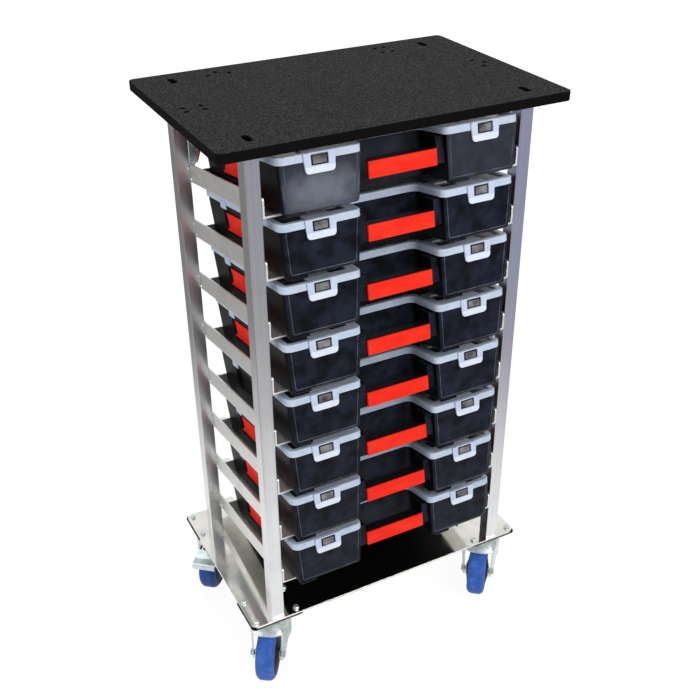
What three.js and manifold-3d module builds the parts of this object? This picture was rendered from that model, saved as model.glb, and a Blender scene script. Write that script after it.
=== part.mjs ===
// A parts cart: a plastic worktop on four square posts, sloping angle rails that carry eight organiser
// cases, and a base plate on four swivel casters. Millimetres, +Z up, the front faces -Y.

import * as THREE from 'three';
import { mergeVertices } from 'three/addons/utils/BufferGeometryUtils.js';
import Module from 'manifold-3d';

const wasm = await Module();
wasm.setup();

// Clearances
const seatGap = 0.3;
const runGap = 0.5;
const overrun = 1;

// Worktop
const topWidth = 600;
const topDepth = 400;
const topThick = 16;
const topCorner = 10;
const slotLength = 27;
const slotWidth = 11;
const holeDiameter = 8;
const sideHolesIn = 43;
const sideHolesY = 4;
const rearHolesFromSide = 143;
const rearHolesIn = 43;
const squareHolesLong = 30;
const squareHolesShort = 19;
const crossHolesLong = 37;
const crossHolesShort = 27;

// Posts and rails
const topSideLip = 50;
const topEndLip = 31;
const postSide = 25;
const postWall = 2;
const postHeight = 904;
const postPlug = 6;
const topRoom = 2.7;
const railCount = 8;
const rearRailRoom = 23.33;
const railFall = THREE.MathUtils.degToRad(9.6);
const railLeg = 33;
const railFlange = 33;
const railThick = 3;
const weldDepth = 0.4;
const stopHeight = 27;
const stopThick = 3;

// Base plate
const baseSideLip = 40;
const baseFrontLip = 5;
const baseRearLip = 15;
const baseThick = 4;
const baseCorner = 12;

// Case, measured along and square to the falling rails
const caseSideRoom = 17;
const caseReach = 34.5;
const caseRearRoom = 46.5;
const caseHeadroom = 10.16;
const lidHeight = 12;
const lidBand = 11;
const lidSink = 3;
const lidPanel = 2.5;
const lidSkirt = 4;
const lidCorner = 16;
const lidRecessFront = 144;
const lidRecessBack = 108;
const lidRecessDepth = 76;
const lidRecessCorner = 11;
const kneeShare = 0.67;
const kneeDrop = 4;
const kneeCorner = 9;
const trayInset = 1.5;
const trayRearInset = 11;
const trayRecessCorner = 6;
const trayWall = 2.2;
const traySideDraft = 4.5;
const trayFrontDraft = 7;
const trayRearDraft = 2;
const recessDraft = 5;
const footWidth = 32;
const footDepth = 16;
const footDrop = 2.4;
const leftFootIn = 3;
const rightFootIn = 4;
const pocketLength = 162;
const pocketHeight = 46;
const pocketUnderRim = 7.7;
const pocketDepth = 5;
const lugLength = 24;
const lugDrop = 7;
const lugThick = 2.4;
const lugGap = 0.6;
const knuckleWidth = 30;
const knuckleIn = 58;
const knuckleHeight = 12;
const knuckleDepth = 8;

// Case handle
const armWidth = 12;
const barSetback = 11.8;
const barDepth = 24;
const barHeight = 26;
const barUnderRim = 18.7;
const armUnderRim = 1.7;
const armDepth = 34;
const gripHeight = 26.5;
const gripThick = 4;
const gripBevel = 1;

// Case latches
const latchShift = 4;
const latchWidth = 51;
const latchFootWidth = 48;
const latchDrop = 30.5;
const latchThick = 4;
const latchProud = 3;
const latchCorner = 6;
const windowWidth = 27;
const windowHeight = 16;
const windowTop = 2.5;
const catchGap = 0.8;
const catchDrop = 2;
const catchProud = 1.6;

// Casters
const plateSideProud = 1.5;
const plateFrontProud = 1;
const plateRearProud = 2;
const plateLength = 105;
const plateWidth = 84;
const plateThick = 3;
const plateCorner = 8;
const boltInX = 12;
const boltInY = 13;
const boltShank = 8;
const boltHole = 8.8;
const boltHead = 12;
const boltHeadHeight = 5;
const raceDiameter = 62;
const raceHeight = 8;
const kingpin = 12;
const kingpinNut = 20;
const kingpinNutHeight = 5;
const crownDiameter = 77;
const crownFlat = 66;
const crownDrop = 15.5;
const crownSheet = 3;
const noseReach = 52.5;
const noseAngle = THREE.MathUtils.degToRad(34);
const noseSkirt = 3;
const legDepth = 33;
const legRearTop = 30;
const legRearFoot = 8;
const eyeRadius = 12;
const wheelDiameter = 100;
const wheelWidth = 36;
const wheelRoom = 3;
const tyreDepth = 12;
const tyreShoulder = 7;
const hubProud = 6;
const hubDiameter = 34;
const webWidth = 12;
const axle = 12;
const axleNut = 14;
const axleNutWidth = 3.5;
const trail = 40;
const swivels = {
  front_left: THREE.MathUtils.degToRad(236),
  front_right: THREE.MathUtils.degToRad(230),
  rear_left: THREE.MathUtils.degToRad(231),
  rear_right: THREE.MathUtils.degToRad(238),
};

// Brake pedals of the rear casters
const pedalWheelGap = 2.2;
const pedalArm = 2.5;
const pedalArmHeight = 9;
const pedalPivotX = 8;
const pedalEye = 6;
const pedalPin = 5;
const pedalPinHead = 9;
const pedalPinHeadHeight = 2;
const pedalReach = 98;
const pedalDip = 6;
const treadLength = 19;
const treadThick = 2.5;
const treadLip = 13;
const rampLength = 17;
const rampRise = 9;

// Curve steps
const cornerSteps = 2;
const roundSteps = 16;
const wheelSteps = 20;
const holeSteps = 8;
const bellSteps = 5;

// Levels and places that follow from the sizes
const frameWidth = topWidth - 2 * topSideLip;
const frameDepth = topDepth - 2 * topEndLip;
const baseWidth = frameWidth + 2 * baseSideLip;
const baseDepth = baseFrontLip + frameDepth + baseRearLip;
const baseMiddleY = (baseRearLip - baseFrontLip) / 2;
const crownBottom = wheelDiameter + wheelRoom;
const plateTop = crownBottom + crownDrop + runGap + raceHeight + plateThick;
const baseTop = plateTop + baseThick;
const lowestRail = rearRailRoom + frameDepth * Math.tan(railFall);
const railPitch = (postHeight - lowestRail - topRoom) / railCount;
const lidTop = railPitch * Math.cos(railFall) - caseHeadroom;
const lidBottom = lidTop - lidHeight;
const lidWidth = frameWidth - 2 * (postSide + caseSideRoom);
const lidFront = -caseReach;
const lidRear = frameDepth - caseRearRoom;
const trayBottom = railThick * Math.cos(railFall) + seatGap;
const trayTop = lidBottom - seatGap;
const trayRear = lidRear - trayRearInset;
const trayHalf = lidWidth / 2 - trayInset;
const knuckleSpread = lidWidth - 2 * knuckleIn;
const latchSpread = (lidWidth + lidRecessFront) / 2 + latchShift;
const barWidth = lidRecessFront - 2 * armWidth;
const hubWidth = wheelWidth + 2 * hubProud;
const trayFront = lidFront + trayInset;
const barFront = lidFront + barSetback;
const barTop = trayTop - barUnderRim;
const barBottom = barTop - barHeight;
const armTop = trayTop - armUnderRim;
const pocketTop = trayTop - pocketUnderRim;
const pocketBottom = pocketTop - pocketHeight;

const materials = {
  board: { color: 0x3d3d3d, roughness: 0.75, metalness: 0 },
  aluminium: { color: 0xc9cbcc, roughness: 0.35, metalness: 1 },
  brightPlate: { color: 0xd6d6d4, roughness: 0.12, metalness: 1 },
  blackPlastic: { color: 0x2b2c2e, roughness: 0.45, metalness: 0 },
  lidPlastic: { color: 0xb7c4d4, roughness: 0.3, metalness: 0 },
  redPlastic: { color: 0xf0553d, roughness: 0.4, metalness: 0 },
  zinc: { color: 0xcfd6d6, roughness: 0.3, metalness: 1 },
  wheel: { color: 0x3d67b5, roughness: 0.55, metalness: 0 },
};

// Turns a closed geometry into a solid that can be joined and cut.
function solidOf(geometry) {
  const bare = geometry.clone();
  bare.deleteAttribute('normal');
  bare.deleteAttribute('uv');
  const shared = mergeVertices(bare);
  return new wasm.Manifold(new wasm.Mesh({
    numProp: 3,
    vertProperties: new Float32Array(shared.attributes.position.array),
    triVerts: new Uint32Array(shared.index.array),
  }));
}

// Turns a solid back into a geometry.
function geometryOf(solid) {
  const mesh = solid.getMesh();
  const geometry = new THREE.BufferGeometry();
  geometry.setAttribute('position', new THREE.BufferAttribute(mesh.vertProperties, 3));
  geometry.setIndex(new THREE.BufferAttribute(mesh.triVerts, 1));
  geometry.computeVertexNormals();
  return geometry;
}

function joined(solids) {
  return solids.reduce((whole, solid) => whole.add(solid));
}

// A box between two opposite corners, given in any order.
function block(cornerA, cornerB) {
  const a = new THREE.Vector3(...cornerA);
  const b = new THREE.Vector3(...cornerB);
  const size = b.clone().sub(a);
  const middle = a.add(b).multiplyScalar(0.5);
  const geometry = new THREE.BoxGeometry(Math.abs(size.x), Math.abs(size.y), Math.abs(size.z));
  return geometry.translate(middle.x, middle.y, middle.z);
}

// An upright round bar whose foot stands at (x, y, z).
function upright(radius, height, x, y, z, steps) {
  const geometry = new THREE.CylinderGeometry(radius, radius, height, steps);
  return geometry.rotateX(Math.PI / 2).translate(x, y, z + height / 2);
}

// A closed outline through corners [x, y, radius], each rounded over its own radius or left sharp at 0.
function roundedOutline(corners) {
  const points = corners.map(([x, y]) => new THREE.Vector2(x, y));
  const shape = new THREE.Shape();
  corners.forEach(([, , radius], i) => {
    const corner = points[i];
    const before = points[(i + points.length - 1) % points.length].clone().sub(corner);
    const after = points[(i + 1) % points.length].clone().sub(corner);
    const start = corner.clone().addScaledVector(before.normalize(), radius);
    const end = corner.clone().addScaledVector(after.normalize(), radius);
    if (i === 0) {
      shape.moveTo(start.x, start.y);
    } else {
      shape.lineTo(start.x, start.y);
    }
    if (radius > 0) {
      shape.quadraticCurveTo(corner.x, corner.y, end.x, end.y);
    }
  });
  shape.closePath();
  return shape;
}

function roundedRectangle(width, height, radius) {
  return roundedOutline([
    [-width / 2, -height / 2, radius],
    [width / 2, -height / 2, radius],
    [width / 2, height / 2, radius],
    [-width / 2, height / 2, radius],
  ]);
}

// A slab of an outline, standing on z = foot.
function slab(shape, height, foot) {
  const options = { depth: height, bevelEnabled: false, curveSegments: cornerSteps };
  return new THREE.ExtrudeGeometry(shape, options).translate(0, 0, foot);
}

// A closed solid between two outlines of the same number of points, one above the other.
function loft(lowShape, highShape, lowZ, highZ) {
  const low = lowShape.getPoints(cornerSteps);
  const high = highShape.getPoints(cornerSteps);
  low.pop();
  high.pop();
  const count = low.length;
  const positions = [];
  low.forEach((point) => positions.push(point.x, point.y, lowZ));
  high.forEach((point) => positions.push(point.x, point.y, highZ));
  const faces = [];
  for (let i = 0; i < count; i += 1) {
    const next = (i + 1) % count;
    faces.push(i, next, count + next, i, count + next, count + i);
  }
  THREE.ShapeUtils.triangulateShape(low, []).forEach(([a, b, c]) => faces.push(a, c, b));
  THREE.ShapeUtils.triangulateShape(high, []).forEach(([a, b, c]) => {
    faces.push(count + a, count + b, count + c);
  });
  const geometry = new THREE.BufferGeometry();
  geometry.setAttribute('position', new THREE.Float32BufferAttribute(positions, 3));
  geometry.setIndex(faces);
  return geometry;
}

// The outline of a case seen from above: a rectangle with a bay in its front. From a crease at the back
// of the bay each side flares out, bends at a knee and runs forwards to a rounded corner.
function caseOutline(sizes) {
  const { half, front, rear, bayFront, bayBack, bayEnd, corner, bayCorner } = sizes;
  const knee = bayBack + kneeShare * (bayFront - bayBack);
  return roundedOutline([
    [-half, front, corner],
    [-bayFront, front, bayCorner],
    [-knee, bayEnd - kneeDrop, kneeCorner],
    [-bayBack, bayEnd, 0],
    [bayBack, bayEnd, 0],
    [knee, bayEnd - kneeDrop, kneeCorner],
    [bayFront, front, bayCorner],
    [half, front, corner],
    [half, rear, corner],
    [-half, rear, corner],
  ]);
}

// The case outline drawn in all round by an inset, at the lid.
function lidOutline(inset) {
  return caseOutline({
    half: lidWidth / 2 - inset,
    front: lidFront + inset,
    rear: lidRear - inset,
    bayFront: lidRecessFront / 2 + inset,
    bayBack: lidRecessBack / 2 + inset,
    bayEnd: lidFront + lidRecessDepth + inset,
    corner: Math.max(lidCorner - inset, runGap),
    bayCorner: Math.max(lidRecessCorner - inset, runGap),
  });
}

// The tray outline at its top or bottom, drawn in all round by an inset.
function trayOutline(inset, atBottom) {
  const drop = atBottom ? 1 : 0;
  return caseOutline({
    half: trayHalf - drop * traySideDraft - inset,
    front: trayFront + drop * trayFrontDraft + inset,
    rear: trayRear - drop * trayRearDraft - inset,
    bayFront: lidRecessFront / 2 + trayInset + drop * recessDraft + inset,
    bayBack: lidRecessBack / 2 + trayInset + drop * recessDraft + inset,
    bayEnd: lidFront + lidRecessDepth + trayInset + drop * recessDraft + inset,
    corner: Math.max(lidCorner - trayInset - inset, runGap),
    bayCorner: Math.max(trayRecessCorner - inset, runGap),
  });
}

function makeMesh(name, geometry, materialName) {
  const mesh = new THREE.Mesh(geometry, new THREE.MeshStandardMaterial(materials[materialName]));
  mesh.name = name;
  return mesh;
}

// The groups of small holes: two squares and two crosses whose last hole is absent.
function holePlaces() {
  const sideHolesX = topWidth / 2 - sideHolesIn;
  const rearHolesX = topWidth / 2 - rearHolesFromSide;
  const rearHolesY = topDepth / 2 - rearHolesIn;
  const squareLong = squareHolesLong / 2;
  const squareShort = squareHolesShort / 2;
  const crossLong = crossHolesLong / 2;
  const crossShort = crossHolesShort / 2;
  return [
    [-sideHolesX - squareLong, sideHolesY - squareShort],
    [-sideHolesX - squareLong, sideHolesY + squareShort],
    [-sideHolesX + squareLong, sideHolesY - squareShort],
    [-sideHolesX + squareLong, sideHolesY + squareShort],
    [rearHolesX - squareShort, rearHolesY - squareLong],
    [rearHolesX + squareShort, rearHolesY - squareLong],
    [rearHolesX - squareShort, rearHolesY + squareLong],
    [rearHolesX + squareShort, rearHolesY + squareLong],
    [-rearHolesX - crossLong, rearHolesY],
    [-rearHolesX, rearHolesY + crossShort],
    [-rearHolesX + crossLong, rearHolesY],
    [sideHolesX, sideHolesY + crossLong],
    [sideHolesX + crossShort, sideHolesY],
    [sideHolesX, sideHolesY - crossLong],
  ];
}

// A round hole as a ring of straight steps.
function roundHole(x, y, radius) {
  const circle = new THREE.Path().absarc(x, y, radius, 0, 2 * Math.PI);
  const points = circle.getPoints(holeSteps / 2);
  points.pop();
  return new THREE.Path(points);
}

function worktop() {
  const foot = baseTop + postHeight;
  const shape = roundedRectangle(topWidth, topDepth, topCorner);
  holePlaces().forEach(([x, y]) => shape.holes.push(roundHole(x, y, holeDiameter / 2)));
  const slotX = (frameWidth - postSide) / 2;
  const slotY = (frameDepth - postSide) / 2;
  [-1, 1].forEach((side) => [-1, 1].forEach((end) => {
    const outline = roundedRectangle(slotWidth, slotLength, slotWidth / 2).getPoints(cornerSteps);
    outline.pop();
    const place = new THREE.Vector2(side * slotX, end * slotY);
    shape.holes.push(new THREE.Path(outline.map((point) => point.add(place))));
  }));
  return makeMesh('worktop', slab(shape, topThick, foot), 'board');
}

function basePlate() {
  const shape = roundedRectangle(baseWidth, baseDepth, baseCorner);
  const plate = solidOf(slab(shape, baseThick, plateTop).translate(0, baseMiddleY, 0));
  const holes = [];
  Object.values(casterPlaces()).forEach(([x, y]) => boltPlaces(x, y).forEach(([boltAtX, boltAtY]) => {
    const length = baseThick + 2 * overrun;
    holes.push(solidOf(upright(boltHole / 2, length, boltAtX, boltAtY, plateTop - overrun, holeSteps)));
  }));
  return makeMesh('base_plate', geometryOf(plate.subtract(joined(holes))), 'brightPlate');
}

// One side of the rack: two square tubes with eight falling angle rails welded to their inner faces.
function sideFrame(name, side) {
  const outer = side * frameWidth / 2;
  const inner = outer - side * postSide;
  const tubes = [-1, 1].map((end) => {
    const faceY = end * frameDepth / 2;
    const shell = block([outer, faceY, baseTop], [inner, faceY - end * postSide, baseTop + postHeight]);
    const bore = block(
      [outer - side * postWall, faceY - end * postWall, baseTop - overrun],
      [inner + side * postWall, faceY - end * (postSide - postWall), baseTop + postHeight - postPlug],
    );
    return solidOf(shell).subtract(solidOf(bore));
  });
  const lean = new THREE.Matrix4().makeShear(0, 0, 0, -Math.tan(railFall), 0, 0);
  const legOuter = inner + side * weldDepth;
  const stopFront = trayRear * Math.cos(railFall) + stopHeight * Math.sin(railFall) + runGap;
  const rails = [];
  for (let i = 0; i < railCount; i += 1) {
    const foot = baseTop + lowestRail + i * railPitch;
    const pieces = [
      block([legOuter, 0, 0], [inner - side * railThick, frameDepth, railLeg]),
      block([legOuter, 0, 0], [inner - side * railFlange, frameDepth, railThick]),
      block([inner, stopFront, 0], [inner - side * railFlange, stopFront + stopThick, stopHeight]),
    ];
    pieces.forEach((piece) => {
      piece.applyMatrix4(lean).translate(0, -frameDepth / 2, foot);
      rails.push(solidOf(piece));
    });
  }
  return makeMesh(name, geometryOf(joined([...tubes, ...rails])), 'aluminium');
}

// The space that a tray leaves for the clip on its side, as a block that can be pushed further in.
function sidePocket(side, extra) {
  const middle = (lidFront + lidRear) / 2;
  const depth = traySideDraft + pocketDepth + extra;
  return solidOf(block(
    [side * (trayHalf + overrun), middle - pocketLength / 2 - extra, pocketBottom - extra],
    [side * (trayHalf - depth), middle + pocketLength / 2 + extra, pocketTop + extra],
  ));
}

// The bar across the bay, with arms that rise where they meet the bay's sides.
function handleBar() {
  const reach = lidRecessFront / 2 + trayInset + recessDraft + trayWall / 2;
  const armInner = barWidth / 2;
  const front = new THREE.Shape([
    [-reach, barBottom], [reach, barBottom], [reach, armTop], [armInner, armTop],
    [armInner, barTop], [-armInner, barTop], [-armInner, armTop], [-reach, armTop],
  ].map(([x, z]) => new THREE.Vector2(x, z)));
  const bar = slab(front, barDepth, 0).rotateX(Math.PI / 2).translate(0, barFront + barDepth, 0);
  const arms = [-1, 1].map((side) => solidOf(block(
    [side * armInner, barFront, barBottom],
    [side * reach, barFront + armDepth, barTop],
  )));
  return joined([solidOf(bar), ...arms]);
}

function tray(name) {
  const frontFoot = trayFront + trayFrontDraft;
  const leftFoot = -(trayHalf - traySideDraft - leftFootIn);
  const rightFoot = lidRecessFront / 2 + trayInset + recessDraft + rightFootIn;
  const feet = [leftFoot, rightFoot].map((x) => solidOf(block(
    [x, frontFoot, trayBottom - footDrop],
    [x + footWidth, frontFoot + footDepth, trayBottom + trayWall],
  )));
  const knuckles = [-1, 1].map((side) => solidOf(block(
    [side * (knuckleSpread + knuckleWidth) / 2, trayRear - trayWall, trayTop - knuckleHeight],
    [side * (knuckleSpread - knuckleWidth) / 2, trayRear + knuckleDepth, trayTop],
  )));
  const outer = solidOf(loft(trayOutline(0, true), trayOutline(0, false), trayBottom, trayTop));
  const hollow = solidOf(loft(
    trayOutline(trayWall, true), trayOutline(trayWall, false), trayBottom + trayWall, trayTop + overrun,
  ));
  const pockets = joined([-1, 1].map((side) => sidePocket(side, 0)));
  const guards = joined([-1, 1].map((side) => sidePocket(side, trayWall)));
  const shell = joined([outer, handleBar()]).subtract(hollow.subtract(guards)).subtract(pockets);
  const catches = [-1, 1].map((side) => solidOf(catchBlock(side)));
  return makeMesh(name, geometryOf(joined([shell, ...feet, ...knuckles, ...catches])), 'blackPlastic');
}

// The block on the tray's front that stands in the window of a closed latch.
function catchBlock(side) {
  const width = windowWidth - 2 * catchGap;
  const windowHead = lidTop - windowTop;
  const top = windowHead - catchDrop;
  const bottom = windowHead - windowHeight + catchGap;
  const front = lidFront - catchProud;
  const neck = trayTop - trayWall / 2;
  const root = trayFront + trayWall / 2;
  const profile = new THREE.Shape([
    [front, bottom], [front, top], [latchBack(), top], [latchBack(), neck], [root, neck], [root, bottom],
  ].map(([y, z]) => new THREE.Vector2(y, z)));
  const stand = new THREE.Matrix4().makeBasis(
    new THREE.Vector3(0, 1, 0), new THREE.Vector3(0, 0, 1), new THREE.Vector3(1, 0, 0),
  );
  return slab(profile, width, -width / 2).applyMatrix4(stand).translate(side * latchSpread / 2, 0, 0);
}

function latchBack() {
  return lidFront - latchProud + latchThick;
}

function lid(name) {
  const whole = solidOf(slab(lidOutline(0), lidHeight, lidBottom));
  const sunk = solidOf(slab(lidOutline(lidBand), lidSink + overrun, lidTop - lidSink));
  const underHeight = lidHeight - lidSink - lidPanel;
  const under = solidOf(slab(lidOutline(lidSkirt), underHeight + overrun, lidBottom - overrun));
  const notches = [-1, 1].map((side) => solidOf(block(
    [side * latchSpread / 2 - latchWidth / 2 - runGap, lidFront - overrun, lidBottom - overrun],
    [side * latchSpread / 2 + latchWidth / 2 + runGap, latchBack() + 2 * runGap, lidTop + overrun],
  )));
  const middle = (lidFront + lidRear) / 2;
  const lugs = [-1, 1].map((side) => {
    const start = middle + pocketLength / 2 - lugLength;
    const inner = lidWidth / 2 - trayInset + lugGap;
    return solidOf(block(
      [side * inner, start, lidBottom - lugDrop],
      [side * (inner + lugThick), start + lugLength, lidBottom + lidHeight / 2],
    ));
  });
  const solid = joined([whole.subtract(sunk).subtract(under).subtract(joined(notches)), ...lugs]);
  return makeMesh(name, geometryOf(solid), 'lidPlastic');
}

// A latch plate with a window, hung from the lid's rim and hooked over its catch.
function latch(name, side) {
  const shape = roundedOutline([
    [-latchFootWidth / 2, -latchDrop, latchCorner],
    [latchFootWidth / 2, -latchDrop, latchCorner],
    [latchWidth / 2, -lidHeight, 0],
    [latchWidth / 2, 0, 0],
    [-latchWidth / 2, 0, 0],
    [-latchWidth / 2, -lidHeight, 0],
  ]);
  const windowShape = [
    [-windowWidth / 2, -windowTop], [-windowWidth / 2, -windowTop - windowHeight],
    [windowWidth / 2, -windowTop - windowHeight], [windowWidth / 2, -windowTop],
  ].map(([x, z]) => new THREE.Vector2(x, z));
  shape.holes.push(new THREE.Path(windowShape));
  const plate = slab(shape, latchThick, 0).rotateX(Math.PI / 2);
  return makeMesh(name, plate.translate(side * latchSpread / 2, latchBack(), lidTop), 'lidPlastic');
}

function grip(name) {
  const face = roundedRectangle(barWidth - 2 * gripBevel, gripHeight - 2 * gripBevel, gripBevel);
  const options = {
    depth: gripThick - 2 * gripBevel,
    bevelThickness: gripBevel,
    bevelSize: gripBevel,
    bevelSegments: 1,
    curveSegments: 1,
  };
  const plate = new THREE.ExtrudeGeometry(face, options).rotateX(Math.PI / 2);
  const middle = (barBottom + barTop) / 2;
  return makeMesh(name, plate.translate(0, barFront - seatGap - gripBevel, middle), 'redPlastic');
}

// A case lies on a pair of rails, so its group takes their fall.
function organiserCase(number) {
  const group = new THREE.Group();
  group.add(tray(`case_${number}_tray`));
  group.add(lid(`case_${number}_lid`));
  group.add(grip(`case_${number}_grip`));
  group.add(latch(`case_${number}_latch_left`, -1));
  group.add(latch(`case_${number}_latch_right`, 1));
  const rail = railCount - number;
  group.position.set(0, -frameDepth / 2, baseTop + lowestRail + rail * railPitch);
  group.rotation.x = -railFall;
  return group;
}

function casterPlaces() {
  const x = baseWidth / 2 + plateSideProud - plateLength / 2;
  const front = baseMiddleY - baseDepth / 2 - plateFrontProud + plateWidth / 2;
  const rear = baseMiddleY + baseDepth / 2 + plateRearProud - plateWidth / 2;
  return {
    front_left: [-x, front],
    front_right: [x, front],
    rear_left: [-x, rear],
    rear_right: [x, rear],
  };
}

function boltPlaces(x, y) {
  const reachX = plateLength / 2 - boltInX;
  const reachY = plateWidth / 2 - boltInY;
  return [-1, 1].flatMap((side) => [-1, 1].map((end) => [x + side * reachX, y + end * reachY]));
}

// The fixed half of a caster: plate, ball race, kingpin and the four bolts that hold it to the base plate.
function casterMount(name) {
  const plate = solidOf(slab(roundedRectangle(plateLength, plateWidth, plateCorner), plateThick,
    plateTop - plateThick));
  const raceTop = plateTop - plateThick / 2;
  const race = solidOf(upright(raceDiameter / 2, raceHeight + plateThick / 2, 0, 0,
    plateTop - plateThick - raceHeight, roundSteps));
  const nutFoot = crownTop() - crownSheet - runGap - kingpinNutHeight;
  const pin = solidOf(upright(kingpin / 2, raceTop - nutFoot, 0, 0, nutFoot, holeSteps));
  const nut = solidOf(upright(kingpinNut / 2, kingpinNutHeight, 0, 0, nutFoot, 6));
  const bolts = boltPlaces(0, 0).map(([x, y]) => {
    const foot = plateTop - plateThick / 2;
    const shank = solidOf(upright(boltShank / 2, baseTop - foot + boltHeadHeight / 2, x, y, foot, 6));
    const head = solidOf(upright(boltHead / 2, boltHeadHeight, x, y, baseTop, 6));
    return shank.add(head);
  });
  return makeMesh(name, geometryOf(joined([plate, race, pin, nut, ...bolts])), 'zinc');
}

function crownTop() {
  return crownBottom + crownDrop;
}

function pedalPivotZ() {
  return crownBottom - pedalEye - runGap;
}

// A round bar along Y through the point (x, z).
function crossBar(radius, length, x, z, steps) {
  return solidOf(new THREE.CylinderGeometry(radius, radius, length, steps).translate(x, 0, z));
}

// The outline of a fork seen from above: a disc round the kingpin, drawn out to a nose over the wheel.
function forkOutline(inset) {
  const shape = new THREE.Shape();
  const tangent = noseTangent(inset);
  shape.absarc(0, 0, noseReach - inset, -noseAngle, noseAngle);
  shape.absarc(0, 0, crownDiameter / 2 - inset, tangent, 2 * Math.PI - tangent);
  return new THREE.Shape(shape.getPoints(bellSteps));
}

// The angle round the kingpin at which a side of the outline leaves the disc for the nose.
function noseTangent(inset) {
  return noseAngle + Math.acos((crownDiameter / 2 - inset) / (noseReach - inset));
}

// How far a leg's outer face lies from the middle of the fork, at x from the kingpin.
function legFace(x) {
  const tangent = noseTangent(0);
  return (crownDiameter / 2 - x * Math.cos(tangent)) / Math.sin(tangent);
}

// A bell with the fork's outline and a shoulder that rises to its flat, drawn in all round by an inset.
function forkBell(inset) {
  const outline = forkOutline(inset);
  const shoulder = crownBottom + noseSkirt - inset;
  const walls = solidOf(slab(outline, shoulder + overrun, -overrun));
  const rim = solidOf(slab(outline, weldDepth, shoulder - weldDepth));
  const flatFoot = crownTop() - inset - weldDepth;
  const flat = solidOf(upright(crownFlat / 2 - inset, weldDepth, 0, 0, flatFoot, roundSteps));
  return walls.add(wasm.Manifold.hull([rim, flat]));
}

// What is kept of the bell, seen from the side: the crown all round and a leg down to the axle.
function forkSide() {
  const rear = -crownDiameter / 2 - overrun;
  const front = noseReach + overrun;
  const legFoot = crownBottom - legDepth;
  const legFront = (noseReach - crownSheet) * Math.cos(noseAngle);
  const eyeEnd = 2 * Math.PI - Math.acos((legFront - trail) / eyeRadius);
  const side = new THREE.Shape();
  side.moveTo(rear, crownTop() + overrun);
  side.lineTo(rear, crownBottom);
  side.lineTo(-legRearTop, crownBottom);
  side.lineTo(-legRearFoot, legFoot);
  side.lineTo(trail - eyeRadius, legFoot);
  side.absarc(trail, wheelDiameter / 2, eyeRadius, Math.PI, eyeEnd);
  side.lineTo(legFront, crownBottom);
  side.lineTo(front, crownBottom);
  side.lineTo(front, crownTop() + overrun);
  const half = crownDiameter / 2 + overrun;
  return solidOf(slab(side, 2 * half, 0).rotateX(Math.PI / 2).translate(0, half, 0));
}

// The turning half: a fork pressed from one sheet, its axle, and a pivot pin where it has a pedal.
function fork(name, hasPedal) {
  const boreFoot = crownTop() - crownSheet - overrun;
  const boreLength = crownSheet + 2 * overrun;
  const bore = solidOf(upright(kingpin / 2 + runGap, boreLength, 0, 0, boreFoot, roundSteps));
  const pressing = forkBell(0).subtract(forkBell(crownSheet)).intersect(forkSide()).subtract(bore);
  const axleZ = wheelDiameter / 2;
  const axleReach = legFace(trail);
  const parts = [
    pressing,
    crossBar(axle / 2, 2 * (axleReach + axleNutWidth), trail, axleZ, holeSteps),
    ...endPieces(eyeRadius, crownSheet, axleReach - crownSheet, trail, axleZ, roundSteps),
    ...endPieces(axleNut / 2, axleNutWidth, axleReach - weldDepth, trail, axleZ, 6),
  ];
  if (hasPedal) {
    const pinZ = pedalPivotZ();
    const reach = legFace(pedalPivotX) - weldDepth;
    parts.push(crossBar(pedalPin / 2, 2 * (reach + weldDepth), pedalPivotX, pinZ, holeSteps));
    parts.push(...endPieces(pedalPinHead / 2, pedalPinHeadHeight, reach, pedalPivotX, pinZ, holeSteps));
  }
  return makeMesh(name, geometryOf(joined(parts)), 'zinc');
}

// Two nuts or heads along Y, each starting at the same distance from the middle.
function endPieces(radius, length, start, x, z, steps) {
  const middle = start + length / 2;
  return [-1, 1].map((end) => crossBar(radius, length, x, z, steps).translate([0, end * middle, 0]));
}

// A wheel turned about its axle: hub, web and rounded tyre.
function wheel(name) {
  const bore = axle / 2 + runGap;
  const radius = wheelDiameter / 2;
  const hubRadius = hubDiameter / 2;
  const rimRadius = radius - tyreDepth;
  const half = wheelWidth / 2;
  const right = [
    [radius, half - tyreShoulder],
    [radius - tyreShoulder, half],
    [rimRadius, half],
    [rimRadius, webWidth / 2],
    [hubRadius, webWidth / 2],
    [hubRadius, hubWidth / 2],
    [bore, hubWidth / 2],
  ];
  const left = right.map(([r, y]) => [r, -y]).reverse();
  const profile = [...left, ...right, left[0]].map(([r, y]) => new THREE.Vector2(r, y));
  return makeMesh(name, new THREE.LatheGeometry(profile, wheelSteps), 'wheel');
}

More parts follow.
